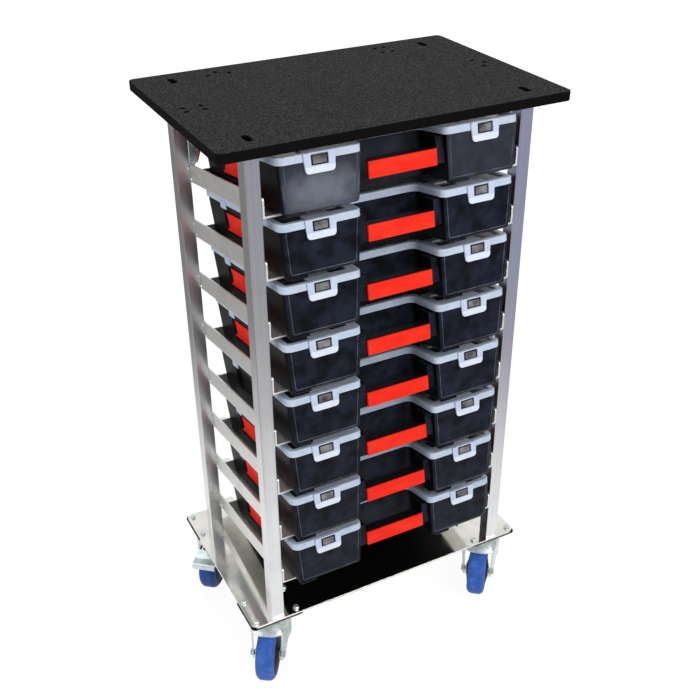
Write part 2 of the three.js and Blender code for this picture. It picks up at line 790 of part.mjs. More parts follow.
// A stirrup inside the fork: two arms beside the wheel on the pivot pin, a tread with a lip in front
// and a ramp that rises from the tread over the wheel.
function pedal(name) {
  const armInner = wheelWidth / 2 + pedalWheelGap;
  const armOuter = armInner + pedalArm;
  const pivotZ = pedalPivotZ();
  const half = pedalArmHeight / 2;
  const endZ = pivotZ - pedalDip;
  const side = new THREE.Shape();
  side.moveTo(pedalPivotX, pivotZ + pedalEye);
  side.absarc(pedalPivotX, pivotZ, pedalEye, Math.PI / 2, 3 * Math.PI / 2);
  side.lineTo(pedalReach, endZ - half);
  side.lineTo(pedalReach, endZ + half);
  const arms = [-1, 1].map((end) => {
    const plate = slab(side, pedalArm, 0).rotateX(Math.PI / 2);
    return solidOf(plate.translate(0, end > 0 ? armOuter : -armInner, 0));
  });
  const treadTop = endZ + half;
  const tread = solidOf(block(
    [pedalReach - treadLength, -armOuter, treadTop - treadThick],
    [pedalReach, armOuter, treadTop],
  ));
  const lip = solidOf(block(
    [pedalReach - treadThick, -armOuter, treadTop - treadLip],
    [pedalReach, armOuter, treadTop],
  ));
  const rampFoot = pedalReach - treadLength;
  const rampSide = new THREE.Shape();
  rampSide.moveTo(rampFoot + treadThick, treadTop - treadThick);
  rampSide.lineTo(rampFoot + treadThick, treadTop);
  rampSide.lineTo(rampFoot, treadTop);
  rampSide.lineTo(rampFoot - rampLength, treadTop + rampRise);
  rampSide.lineTo(rampFoot - rampLength, treadTop + rampRise - treadThick);
  rampSide.lineTo(rampFoot, treadTop - treadThick);
  const ramp = solidOf(slab(rampSide, 2 * armOuter, 0).rotateX(Math.PI / 2).translate(0, armOuter, 0));
  const pinHole = crossBar(pedalPin / 2 + seatGap, 2 * (armOuter + overrun), pedalPivotX, pivotZ, holeSteps);
  return makeMesh(name, geometryOf(joined([...arms, tread, lip, ramp]).subtract(pinHole)), 'zinc');
}

function caster(place, [x, y]) {
  const group = new THREE.Group();
  group.position.set(x, y, 0);
  group.add(casterMount(`${place}_caster_mount`));
  const swivel = new THREE.Group();
  swivel.rotation.z = swivels[place];
  const hasPedal = place.startsWith('rear');
  swivel.add(fork(`${place}_caster_fork`, hasPedal));
  const roller = wheel(`${place}_caster_wheel`);
  roller.position.set(trail, 0, wheelDiameter / 2);
  swivel.add(roller);
  if (hasPedal) {
    swivel.add(pedal(`${place}_brake_pedal`));
  }
  group.add(swivel);
  return group;
}

const cart = new THREE.Group();
cart.add(worktop());
cart.add(basePlate());
cart.add(sideFrame('left_side_frame', -1));
cart.add(sideFrame('right_side_frame', 1));
for (let number = 1; number <= railCount; number += 1) {
  cart.add(organiserCase(number));
}
Object.entries(casterPlaces()).forEach(([place, spot]) => cart.add(caster(place, spot)));

// The origin lies on the floor under the middle of the whole cart.
const extent = new THREE.Box3().setFromObject(cart, true);
const middle = extent.getCenter(new THREE.Vector3());
cart.position.set(-middle.x, -middle.y, -extent.min.z);

export default cart;
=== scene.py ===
# %% [markdown]
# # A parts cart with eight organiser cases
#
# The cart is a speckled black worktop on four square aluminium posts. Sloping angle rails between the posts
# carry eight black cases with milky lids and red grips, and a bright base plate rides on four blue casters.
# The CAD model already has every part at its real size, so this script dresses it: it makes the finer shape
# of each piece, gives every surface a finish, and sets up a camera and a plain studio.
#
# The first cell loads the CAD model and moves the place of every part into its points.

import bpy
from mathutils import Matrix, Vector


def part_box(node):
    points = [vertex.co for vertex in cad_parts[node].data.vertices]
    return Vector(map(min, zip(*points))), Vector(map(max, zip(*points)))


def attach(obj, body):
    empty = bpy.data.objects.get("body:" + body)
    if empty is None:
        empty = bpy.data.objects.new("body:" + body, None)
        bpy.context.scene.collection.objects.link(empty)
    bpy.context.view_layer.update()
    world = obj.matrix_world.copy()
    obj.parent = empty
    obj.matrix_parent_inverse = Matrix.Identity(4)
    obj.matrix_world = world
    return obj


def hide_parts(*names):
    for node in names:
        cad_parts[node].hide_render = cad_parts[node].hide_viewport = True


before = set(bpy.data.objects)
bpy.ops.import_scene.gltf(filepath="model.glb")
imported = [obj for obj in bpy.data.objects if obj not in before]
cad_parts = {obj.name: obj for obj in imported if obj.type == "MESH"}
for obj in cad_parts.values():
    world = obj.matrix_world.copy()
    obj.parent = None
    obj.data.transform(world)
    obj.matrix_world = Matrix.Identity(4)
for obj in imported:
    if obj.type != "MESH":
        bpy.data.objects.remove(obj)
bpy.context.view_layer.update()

# %% Modules used below
import math

import bmesh
import bpy
import numpy as np
from mathutils import Matrix, Vector
from mathutils.geometry import tessellate_polygon

# %% [markdown]
# ## Sizes and places
#
# Lengths are written in millimetres times `mm`, because that is how a workshop would measure them, while
# Blender counts in metres. Places come from the boxes of the CAD parts, so that every new piece sits where
# its CAD part is. The rails and the cases on them fall by the angle `fall` towards the rear.

# %% Places read from the CAD model
mm = 0.001
worktop_low, worktop_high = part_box("worktop")
centre_x = (worktop_low.x + worktop_high.x) / 2
centre_y = (worktop_low.y + worktop_high.y) / 2
base_low, base_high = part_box("base_plate")
base_top = base_high.z
frame_low, frame_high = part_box("left_side_frame")
post_front = frame_low.y
post_back = frame_high.y
fall = math.radians(9.6)
print("centre", centre_x, centre_y, "base top", base_top, "posts from", post_front, "to", post_back)

# %% [markdown]
# ## The camera
#
# The photograph was taken from the front left, half a metre above the worktop. The three turns and the
# focal length were found by fitting the corners of the worktop, the posts, the rails and the base plate. A
# camera looks along its own minus Z, so its matrix has the direction to the right, the direction up and the
# direction backwards as columns.

# %% Camera
photo_width = 700
focal_pixels = 1019.2
camera_from_centre = (-745.53 * mm, -1440.99 * mm, 1402.75 * mm)
yaw, pitch, roll = -0.479645, -0.543728, -0.007495
level_right = Vector((math.cos(yaw), math.sin(yaw), 0))
ahead = Vector((-math.sin(yaw) * math.cos(pitch), math.cos(yaw) * math.cos(pitch), math.sin(pitch)))
level_up = level_right.cross(ahead)
camera_right = level_right * math.cos(roll) + level_up * math.sin(roll)
camera_up = level_up * math.cos(roll) - level_right * math.sin(roll)
camera_place = Vector((centre_x, centre_y, base_top)) + Vector(camera_from_centre)
camera_data = bpy.data.cameras.new("camera")
camera = bpy.data.objects.new("camera", camera_data)
camera_data.sensor_width = 36
camera_data.lens = focal_pixels / photo_width * camera_data.sensor_width
turn = Matrix((camera_right, camera_up, -ahead)).transposed().to_4x4()
camera.matrix_world = Matrix.Translation(camera_place) @ turn
bpy.context.scene.collection.objects.link(camera)
bpy.context.scene.camera = camera
print("lens", round(camera_data.lens, 2), "mm at", [round(c, 3) for c in camera_place])

# %% [markdown]
# ## Shader maths
#
# A finish is a small network of nodes. Written node by node it is hard to read, so `Wire` wraps one output
# of a node and lets it take part in sums: `1 - mask * 0.5` adds the Math nodes that work it out.

# %% Wires
class Wire:
    """One output of a node in a network. A sum of wires and numbers adds the Math nodes for it."""

    def __init__(self, network, socket):
        self.network = network
        self.socket = socket

    def maths(self, operation, *values):
        """Adds a Math node over wires and numbers, in the order of its sockets."""
        return self.network.node("ShaderNodeMath", {"operation": operation}, dict(enumerate(values)))

    def __add__(self, other):
        return self.maths("ADD", self, other)

    def __radd__(self, other):
        return self.maths("ADD", other, self)

    def __sub__(self, other):
        return self.maths("SUBTRACT", self, other)

    def __rsub__(self, other):
        return self.maths("SUBTRACT", other, self)

    def __mul__(self, other):
        return self.maths("MULTIPLY", self, other)

    def __rmul__(self, other):
        return self.maths("MULTIPLY", other, self)

    def __lt__(self, other):
        return self.maths("LESS_THAN", self, other)

    def within(self, low, high):
        """Goes smoothly from 0 where the wire is low to 1 where it is high."""
        settings = {"interpolation_type": "SMOOTHSTEP", "clamp": True}
        inputs = {"Value": self, "From Min": low, "From Max": high}
        return self.network.node("ShaderNodeMapRange", settings, inputs)


# %% [markdown]
# A `Network` is the tree of nodes of a material or of the world. Its method `node` adds any node from its
# type, its settings and its inputs, and gives back one of its outputs as a wire.

# %% Networks
class Network:
    """The nodes of a material or of the world."""

    def __init__(self, tree):
        self.tree = tree

    def node(self, kind, settings=None, inputs=None, output=0):
        """Adds a node, sets its settings, then fills its sockets with numbers, colours or wires."""
        node = self.tree.nodes.new(kind)
        for name, value in (settings or {}).items():
            setattr(node, name, value)
        for socket, value in (inputs or {}).items():
            self.fill(node.inputs[socket], value)
        return Wire(self, node.outputs[output])

    def fill(self, socket, value):
        """Links a wire to a socket, or sets a number or a colour on it."""
        if isinstance(value, Wire):
            self.tree.links.new(value.socket, socket)
        else:
            socket.default_value = value

    def axis(self, vector, number):
        """One coordinate of a vector: 0 for x, 1 for y and 2 for z."""
        return self.node("ShaderNodeSeparateXYZ", {}, {0: vector}, number)

    def seen_by(self, *kinds):
        """1 for rays of the given kinds and 0 for all others."""
        rays = [self.node("ShaderNodeLightPath", output=f"Is {kind} Ray") for kind in kinds]
        return sum(rays[1:], rays[0])


# %% [markdown]
# A `Finish` is the network of one material. It holds the few things that all finishes share: the place on
# the object, a noise of a given grain, a blend of two colours and a bump. Colours are written as a screen
# shows them.

# %% Finishes
class Finish(Network):
    """A material whose shader is one Principled BSDF. Numbers that are even all over go on its sockets."""

    def __init__(self, name, **constants):
        self.material = bpy.data.materials.new(name)
        self.material.use_nodes = True
        super().__init__(self.material.node_tree)
        self.shader = self.tree.nodes["Principled BSDF"]
        for socket_name, value in constants.items():
            self.shader.inputs[socket_name.replace("_", " ")].default_value = value

    def use(self, **inputs):
        """Fills sockets of the shader, with _ for a space in their names."""
        for socket_name, value in inputs.items():
            self.fill(self.shader.inputs[socket_name.replace("_", " ")], value)

    def place(self, stretch=(1, 1, 1), turned=(0, 0, 0)):
        """The point on the object in metres, turned and then stretched for a grain that runs one way."""
        here = self.node("ShaderNodeTexCoord", output="Object")
        return self.node("ShaderNodeMapping", {}, {"Vector": here, "Rotation": turned, "Scale": stretch})

    def noise(self, size, stretch=(1, 1, 1), detail=2.0, roughness=0.5, turned=(0, 0, 0)):
        """Soft random values from 0 to 1 whose lumps are about size metres across."""
        inputs = {
            "Vector": self.place(stretch, turned), "Scale": 1 / size, "Detail": detail,
            "Roughness": roughness,
        }
        return self.node("ShaderNodeTexNoise", {}, inputs)

    def blend(self, amount, first, second):
        """A colour that goes from the first to the second as amount goes from 0 to 1."""
        settings = {"data_type": "RGBA", "clamp_factor": True}
        return self.node("ShaderNodeMix", settings, {0: amount, 6: first, 7: second}, output=2)

    def bump(self, height, distance, strength):
        """Raises the surface by up to distance metres where height goes from 0 to 1."""
        inputs = {"Height": height, "Distance": distance, "Strength": strength}
        self.use(Normal=self.node("ShaderNodeBump", {}, inputs))


def paint(red, green, blue):
    """A colour as a screen shows it, 0 to 255, in the linear light that the shader works in."""
    levels = np.array([red, green, blue]) / 255
    linear = np.where(levels <= 0.04045, levels / 12.92, ((levels + 0.055) / 1.055) ** 2.4)
    return (*linear.tolist(), 1.0)


# %% [markdown]
# ## The looks of the cart
#
# The worktop is a laminate board. Its face is dark grey with a fine lighter speckle that can be felt, and
# its edge band is plainer and darker. Three fine noises make the speckle, and one of them also raises the
# bump. A fourth is much coarser and clouds the face a little.

# %% Speckled board
def speckled_board():
    finish = Finish("speckled_board", IOR=1.15)
    grain = finish.noise(1.5 * mm, detail=3, roughness=0.7)
    specks = finish.noise(1.1 * mm, detail=1).within(0.6, 0.76)
    clumps = finish.noise(2.5 * mm, detail=1, roughness=0.7).within(0.46, 0.6)
    cloud = finish.noise(60 * mm, detail=2)
    face = finish.blend(grain.within(0.32, 0.7), paint(8, 8, 9), paint(30, 30, 31))
    face = finish.blend(clumps * 0.7, face, paint(70, 70, 71))
    face = finish.blend(specks * 0.45, face, paint(104, 104, 106))
    face = finish.blend(cloud * 0.15, face, paint(24, 24, 25))
    up = finish.axis(finish.node("ShaderNodeNewGeometry", output="Normal"), 2)
    edge = finish.blend(grain, paint(7, 6, 6), paint(17, 15, 14))
    finish.use(Base_Color=finish.blend(up.within(0.7, 0.95), edge, face), Roughness=0.6 + grain * 0.25)
    finish.bump(grain, 0.25 * mm, 0.3)
    return finish.material


# %% [markdown]
# The posts and rails are extruded aluminium with a mill finish: faint die lines run along each bar, with a
# few cloudy stains across them. A noise that is stretched 250 times along the bar gives the lines.

# %% Mill aluminium
def mill_aluminium(name, along, tint, turned=(0, 0, 0), depth=0.95, dullness=0.22, sawn_ends=False):
    """along holds a small number on the axis that the bar follows and 1 on the others. Sawn front ends are
    brighter and duller than the rest."""
    finish = Finish(name, Metallic=1.0)
    lines = finish.noise(1.6 * mm, stretch=along, detail=3, roughness=0.55, turned=turned)
    stains = finish.noise(80 * mm, detail=3, roughness=0.6)
    bright = paint(*tint)
    dull = paint(*(level * depth for level in tint))
    tone = finish.blend(lines.within(0.3, 0.7), dull, bright)
    tone = finish.blend(stains.within(0.45, 0.8) * 0.4, tone, paint(*(level * 0.84 for level in tint)))
    roughness = lines * 0.06 + stains * 0.12 + dullness
    if sawn_ends:
        sawn = finish.axis(finish.place(), 1) < post_front + 0.4 * mm
        tone = finish.blend(sawn, tone, paint(252, 252, 252))
        roughness = roughness + sawn * 0.3
    finish.use(Base_Color=tone, Roughness=roughness)
    finish.bump(lines, 0.03 * mm, 0.2)
    return finish.material


# %% [markdown]
# The base plate is a bright sheet that mirrors what stands on it, a little blurred. Fine lines run along
# its length, and smears show in the gloss more than in the colour.

# %% Bright sheet
def bright_sheet():
    finish = Finish("bright_sheet", Metallic=1.0)
    lines = finish.noise(0.9 * mm, stretch=(0.02, 1, 1), detail=3)
    smears = finish.noise(55 * mm, detail=4, roughness=0.62)
    tone = finish.blend(smears.within(0.35, 0.75), paint(240, 238, 233), paint(222, 220, 214))
    finish.use(Base_Color=tone, Roughness=0.055 + smears.within(0.3, 0.8) * 0.09 + lines * 0.03)
    finish.bump(smears * 0.6 + lines * 0.1, 0.12 * mm, 0.2)
    return finish.material


# %% [markdown]
# The cases are moulded in black plastic with a fine grain. The faces that look forwards are painted greyer,
# as if lit from the front, and the others deep black, as if in shade: painted light and shade. Rubbing
# changes the gloss in patches, which a coarse noise in the roughness shows, and the same noise mottles the
# painted light.
# The top case has a painted sheen, a cloudy grey reflection in the middle of its left front.

# %% Black moulding
def black_moulding(
    name, deep=(9, 9, 12), front_lit_tone=(25, 29, 41), grain_size=0.45 * mm, dull=0.33, gloss=1.22, dust=None,
):
    """dust holds the middle and half sizes, in x and z, of a painted sheen, a cloud on the forward faces."""
    finish = Finish(name, IOR=gloss)
    grain = finish.noise(grain_size, detail=2, roughness=0.6)
    rubbing_and_light_mottle = finish.noise(30 * mm, detail=3, roughness=0.6)
    # Painted light and shade: faces that look forwards get the lighter front tone, and the others the deep
    # tone.
    ahead = 1 - finish.axis(finish.node("ShaderNodeNewGeometry", output="Normal"), 1).within(-0.96, -0.5)
    # The painted light on the forward faces is mottled between a dim and a bright tone by the patch noise.
    front_lit_dim = paint(*(level * 0.45 for level in front_lit_tone))
    front = finish.blend(rubbing_and_light_mottle.within(0.3, 0.7), front_lit_dim, paint(*(level * 1.3 for level in front_lit_tone)))
    # Painted sheen: a grey cloud of painted reflection on the forward faces, fading out in patches at its
    # edge.
    if dust:
        here = finish.place()
        across = (finish.axis(here, 0) - dust[0][0]) * (1 / dust[1][0])
        height = (finish.axis(here, 2) - dust[0][1]) * (1 / dust[1][1])
        across, height = across * across, height * height
        sheen_fade = (across + height + rubbing_and_light_mottle * 2.6).within(0.8, 3.4) * 0.85
        front = finish.blend((1 - sheen_fade) * 0.95, front, paint(112, 116, 128))
    shade = finish.blend(ahead, paint(*deep), front)
    shade = finish.blend(grain.within(0.5, 0.9) * 0.25, shade, paint(*(level * 1.6 for level in front_lit_tone)))
    finish.use(Base_Color=shade, Roughness=dull - 0.06 + rubbing_and_light_mottle * 0.16 + grain * 0.05)
    finish.bump(grain, 0.06 * mm, 0.35)
    return finish.material


# %% [markdown]
# The lids and latches are natural polypropylene, milky and slightly blue. Where the sheet is thin and dark
# space lies behind it, the lid looks almost black, so its sunk panel is painted dark brown as painted shade.
# The pads on the lid are painted whiter than the band, as painted light in the narrow gap under the next
# case.

# %% Milky plastic and lid panel
def milky_plastic(name, tone, deep):
    """The colour is tone, going over to deep in clouds."""
    finish = Finish(name, IOR=1.49, Coat_Weight=0.25, Coat_Roughness=0.2)
    cloud = finish.noise(24 * mm, detail=3, roughness=0.6)
    grain = finish.noise(0.6 * mm, detail=2)
    shade = finish.blend(cloud.within(0.35, 0.75) * 0.6 + grain * 0.2, paint(*tone), paint(*deep))
    finish.use(Base_Color=shade, Roughness=0.32 + grain * 0.14)
    finish.bump(grain, 0.05 * mm, 0.3)
    return finish.material


def lid_panel_painted_shade():
    finish = Finish("lid_panel_painted_shade", IOR=1.49, Coat_Weight=0.4, Coat_Roughness=0.15)
    cloud = finish.noise(30 * mm, detail=3)
    # Painted shade: dark brown where the milky sheet shows the dark gap behind it.
    shade = finish.blend(cloud.within(0.3, 0.8), paint(46, 40, 38), paint(74, 66, 62))
    finish.use(Base_Color=shade, Roughness=0.22 + cloud * 0.1)
    return finish.material


# %% [markdown]
# Grips and side clips are the same red, with the faint sheen and swirl of a glossy moulding.

# %% Red moulding
def red_moulding():
    finish = Finish("red_moulding", IOR=1.28)
    swirl = finish.noise(18 * mm, stretch=(0.4, 1, 1), detail=3, roughness=0.55)
    grain = finish.noise(0.5 * mm, detail=2)
    shade = finish.blend(swirl.within(0.3, 0.75), paint(244, 34, 14), paint(255, 50, 24))
    finish.use(Base_Color=shade, Roughness=0.4 + grain * 0.12 + swirl * 0.06)
    finish.bump(grain, 0.04 * mm, 0.3)
    return finish.material


# %% [markdown]
# Casters, bolts and pedals are zinc plated. The plating is bright, bluish green and warmer white in
# patches, with a fine mottle. The upper edge of each caster plate, under the base plate, is painted dark as
# painted shade, and the welds are small bright beads.

# %% Zinc plate and welds
def zinc_plate():
    finish = Finish("zinc_plate", Metallic=0.7)
    patches = finish.noise(14 * mm, detail=3, roughness=0.6)
    mottle = finish.noise(1.2 * mm, detail=2)
    tone = finish.blend(patches.within(0.35, 0.7), paint(198, 214, 215), paint(232, 235, 230))
    tone = finish.blend(mottle.within(0.55, 0.8) * 0.3, tone, paint(204, 212, 212))
    finish.use(Base_Color=tone, Roughness=0.2 + patches * 0.12 + mottle * 0.06)
    finish.bump(mottle, 0.04 * mm, 0.3)
    return finish.material


def shaded_plate_edge():
    """Painted shade on the upper edge of the caster plates, under the base plate: dark, with a few bright
    streaks.
    """
    finish = Finish("shaded_plate_edge", Metallic=0.6, Specular_IOR_Level=0.2)
    streaks = finish.noise(5 * mm, stretch=(1, 1, 0.3), detail=3, roughness=0.65)
    shade = finish.blend(streaks.within(0.5, 0.72), paint(92, 84, 79), paint(165, 155, 148))
    finish.use(Base_Color=shade, Roughness=0.5 + streaks * 0.2)
    finish.bump(streaks, 0.1 * mm, 0.3)
    return finish.material


def weld_bead():
    finish = Finish("weld_bead", Metallic=1.0)
    ripple = finish.noise(1.6 * mm, detail=2)
    shade = finish.blend(ripple.within(0.35, 0.65), paint(196, 206, 208), paint(236, 240, 240))
    finish.use(Base_Color=shade, Roughness=0.16 + ripple * 0.2)
    finish.bump(ripple, 0.5 * mm, 0.6)
    return finish.material


# %% [markdown]
# The tyres are blue cast polyurethane: smooth, with paler dust and scuffs. The rear tyres stand in the
# shade of the cart, so the colour also darkens from front to rear as painted shade.

# %% Blue tyre
def blue_tyre():
    finish = Finish("blue_tyre", Coat_Weight=0.05, Coat_Roughness=0.35, Specular_IOR_Level=0.3)
    dust = finish.noise(16 * mm, detail=4, roughness=0.65)
    scuffs = finish.noise(2.2 * mm, detail=3)
    tone = finish.blend(dust.within(0.35, 0.75), paint(40, 85, 172), paint(66, 114, 202))
    tone = finish.blend(scuffs.within(0.56, 0.8) * 0.45, tone, paint(124, 150, 208))
    # Painted shade: the rear tyres, under the cart, are darkened towards navy.
    rear_painted_shade = finish.axis(finish.place(), 1).within(-0.05, 0.1)
    tone = finish.blend(rear_painted_shade * 0.5, tone, paint(18, 34, 78))
    finish.use(Base_Color=tone, Roughness=0.42 + dust * 0.2)
    finish.bump(scuffs, 0.08 * mm, 0.3)
    return finish.material


# %% [markdown]
# Each finish gets a short name here, and a slot, which is the name under which the part's record lists its
# material. Several finishes can share a slot.

# %% Make the finishes
# Middle and half size, in x and z, of the painted sheen on the top case's left front.
sheen_middle = (centre_x - 140 * mm, 970 * mm)
sheen_half_size = (58 * mm, 36 * mm)
finishes = {
    "board": speckled_board(),
    "post": mill_aluminium("post_aluminium", (1, 1, 0.004), (238, 239, 241)),
    "rail": mill_aluminium("rail_aluminium", (1, 0.004, 1), (248, 248, 245), turned=(fall, 0, 0), depth=0.96,
                           dullness=0.4, sawn_ends=True),
    "sheet": bright_sheet(),
    "black": black_moulding("black_moulding"),
    "painted_sheen": black_moulding("painted_sheen_moulding", dust=(sheen_middle, sheen_half_size)),
    # The bead's light grey is a painted highlight along the edges of the front wall.
    "bead": black_moulding("bead_painted_highlight", deep=(80, 84, 95), front_lit_tone=(80, 84, 95)),
    "catch": black_moulding("catch_moulding", deep=(60, 60, 62), front_lit_tone=(112, 112, 114),
                            grain_size=0.9 * mm, dull=0.6),
    "hub": black_moulding("hub_moulding", deep=(10, 10, 11), front_lit_tone=(14, 14, 15), dull=0.5, gloss=1.3),
    "lid": milky_plastic("lid_plastic", (202, 215, 233), (174, 190, 213)),
    # The pads' whiter milk is painted light, for the narrow gap under the case above.
    "lid_top": milky_plastic("lid_pad_painted_light", (220, 228, 240), (196, 206, 224)),
    "latch": milky_plastic("latch_plastic", (206, 216, 237), (184, 196, 222)),
    "latch_bar": milky_plastic("latch_bar_plastic", (228, 235, 248), (212, 221, 240)),
    "panel": lid_panel_painted_shade(),
    "red": red_moulding(),
    "zinc": zinc_plate(),
    "weld": weld_bead(),
    "edge": shaded_plate_edge(),
    "tyre": blue_tyre(),
}
slots = {"board": "speckled_board", "sheet": "bright_plate", "red": "red_plastic", "tyre": "blue_tyre"}
slots |= dict.fromkeys(["post", "rail", "weld"], "aluminium")
slots |= dict.fromkeys(["black", "painted_sheen", "bead", "catch", "hub"], "black_plastic")
slots |= dict.fromkeys(["lid", "lid_top", "latch", "latch_bar", "panel"], "lid_plastic")
slots |= dict.fromkeys(["zinc", "edge"], "zinc")
print(len(finishes), "finishes in", len(set(slots.values())), "slots")

# %% [markdown]
# ## Making shapes
#
# Every shape here is worked out with numpy and then handed to Blender as a mesh. A shape is kept as a pair:
# an array of points and a list of faces. `lofted` joins a stack of rings into a closed skin, and most other
# shapes are a stack of rings too: a turned part is one profile carried round an axis, and a bar is one
# outline carried along a line.

# %% Rings and lofts
def band_faces(rows, columns, wrap):
    """Point c of ring r joins point c + 1 of the same ring and the two points above them, as whole arrays."""
    row = np.arange(rows if wrap else rows - 1)[:, None]
    column = np.arange(columns)[None, :]
    next_row = (row + 1) % rows
    next_column = (column + 1) % columns
    corners = [row * columns + column, row * columns + next_column,
               next_row * columns + next_column, next_row * columns + column]
    return np.stack(np.broadcast_arrays(*corners), axis=-1).reshape(-1, 4)


def lofted(rings, wrap=False):
    """A skin over rings of shape (rings, points, 3). With wrap it closes on itself, else it gets two caps."""
    rings = np.asarray(rings, float)
    rows, columns = rings.shape[:2]
    faces = band_faces(rows, columns, wrap).tolist()
    if not wrap:
        faces.append(list(range(columns)))
        faces.append(list(range((rows - 1) * columns, rows * columns)))
    return rings.reshape(-1, 3), faces


# %% [markdown]
# Outlines are drawn in the plane, as loops of points that run anticlockwise. They are put together from
# arcs and straight lines. `drawn_in` makes a loop smaller all round by the same distance, which every eased
# edge needs.

# %% Outlines
def arc(centre, radius, start, end, steps):
    """Points at centre + radius * (cos a, sin a), with a from start to end in degrees."""
    angle = np.radians(np.linspace(start, end, steps + 1))
    return np.stack([centre[0] + radius * np.cos(angle), centre[1] + radius * np.sin(angle)], axis=1)


def polygon(corners, radius, centre=(0, 0)):
    """Corners at equal angles round a circle. Six make a nut, and 24 pass for a round hole."""
    return arc(centre, radius, 0, 360 - 360 / corners, corners - 1)


def rounded_rectangle(width, height, radius, centre=(0, 0), steps=8):
    """Four quarter circles, one a corner, in anticlockwise order."""
    x, y = width / 2 - radius, height / 2 - radius
    corners = [(x, y, 0), (-x, y, 90), (-x, -y, 180), (x, -y, 270)]
    arcs = [arc((cx, cy), radius, start, start + 90, steps) for cx, cy, start in corners]
    return np.concatenate(arcs) + np.array(centre)


def drawn_in(loop, inset):
    """Moves each point of an anticlockwise loop along the mean normal of its edges, so both move by inset."""
    before = loop - np.roll(loop, 1, axis=0)
    after = np.roll(loop, -1, axis=0) - loop
    inward = [np.stack([-edge[:, 1], edge[:, 0]], axis=1) / np.linalg.norm(edge, axis=1, keepdims=True)
              for edge in (before, after)]
    spread = 1 + np.sum(inward[0] * inward[1], axis=1, keepdims=True)
    return loop + inset * (inward[0] + inward[1]) / spread


# %% [markdown]
# A flat plate is the commonest shape on this cart. Its sides rise from the lower face over a quarter circle
# of radius `edge` and turn into the upper face over another, which gives every plate the fine bright line
# of a real edge. Holes are loops too, and they grow where the outline shrinks. Blender's own polygon tool
# fills the two faces.

# %% Plates and bars
def plate(outline, thickness, edge, holes=(), steps=3):
    """A plate that lies on z = 0. With angle a from 0 to 90 degrees, the lower edge is drawn in by
    edge * (1 - sin a) at height edge * (1 - cos a), and the upper edge is its mirror image."""
    angle = np.linspace(0, np.pi / 2, steps + 1)
    inset = edge * np.concatenate([1 - np.sin(angle), 1 - np.cos(angle)])
    height = np.concatenate([edge * (1 - np.cos(angle)), thickness - edge + edge * np.sin(angle)])
    points, faces, lower, upper, count = [], [], [], [], 0
    for sign, loop in [(1, outline)] + [(-1, hole) for hole in holes]:
        rings = np.stack([np.column_stack([drawn_in(loop, sign * i), np.full(len(loop), z)])
                          for i, z in zip(inset, height)])
        rows, columns = rings.shape[:2]
        points.append(rings.reshape(-1, 3))
        faces += (band_faces(rows, columns, False) + count).tolist()
        lower.append(count + np.arange(columns))
        upper.append(count + (rows - 1) * columns + np.arange(columns))
        count += rows * columns
    points = np.concatenate(points)
    for ends in (lower, upper):
        index = np.concatenate(ends)
        triangles = tessellate_polygon([[Vector(points[i]) for i in end] for end in ends])
        faces += index[np.array(triangles)].tolist()
    return points, faces


def rounded_bar(size, edge):
    """A bar with all its edges rounded: a plate over a rounded rectangle, centred on the origin."""
    width, depth, height = size
    points, faces = plate(rounded_rectangle(width, depth, edge, steps=3), height, edge)
    return points - np.array([0, 0, height / 2]), faces


def upright_plate(outline, thickness, edge, holes=()):
    """A plate drawn in x and height that stands upright, with its rear face on depth 0."""
    points, faces = plate(outline, thickness, edge, holes)
    return np.stack([points[:, 0], -points[:, 2], points[:, 1]], axis=1), faces


# %% [markdown]
# Round things are turned, as on a lathe: a profile is carried round an axis. The small helpers below it
# move, turn and mirror any shape.

# %% Turned parts and moves
def turned_part(profile, steps, wrap=False):
    """A profile of (radius, height) points carried round Z. With wrap the profile closes on itself."""
    profile = np.asarray(profile, float)
    angle = np.linspace(0, 2 * np.pi, steps, endpoint=False)
    rings = np.stack([
        profile[:, :1] * np.cos(angle), profile[:, :1] * np.sin(angle),
        np.repeat(profile[:, 1:], steps, axis=1),
    ], axis=-1)
    return lofted(rings, wrap)


def moved(shape, offset):
    """Every point plus the offset."""
    return shape[0] + np.array(offset), shape[1]


def turned(shape, axis, degrees):
    """Every point times the matrix of a turn about an axis through the origin."""
    matrix = np.array(Matrix.Rotation(math.radians(degrees), 3, axis))
    return shape[0] @ matrix.T, shape[1]


def mirrored(shape):
    """The left-hand twin of a shape. Its faces are turned outwards again when the piece is made."""
    return shape[0] * np.array([-1, 1, 1]), shape[1]


# %% [markdown]
# `make_piece` turns shapes into one Blender object. It joins doubled points, turns every face outwards,
# shades the skin smoothly up to edges of more than 32 degrees, and lets the large faces rule the shading
# through a Weighted Normal modifier. Then the piece rides on its CAD body, and where it stands for a CAD
# part it hides that part.

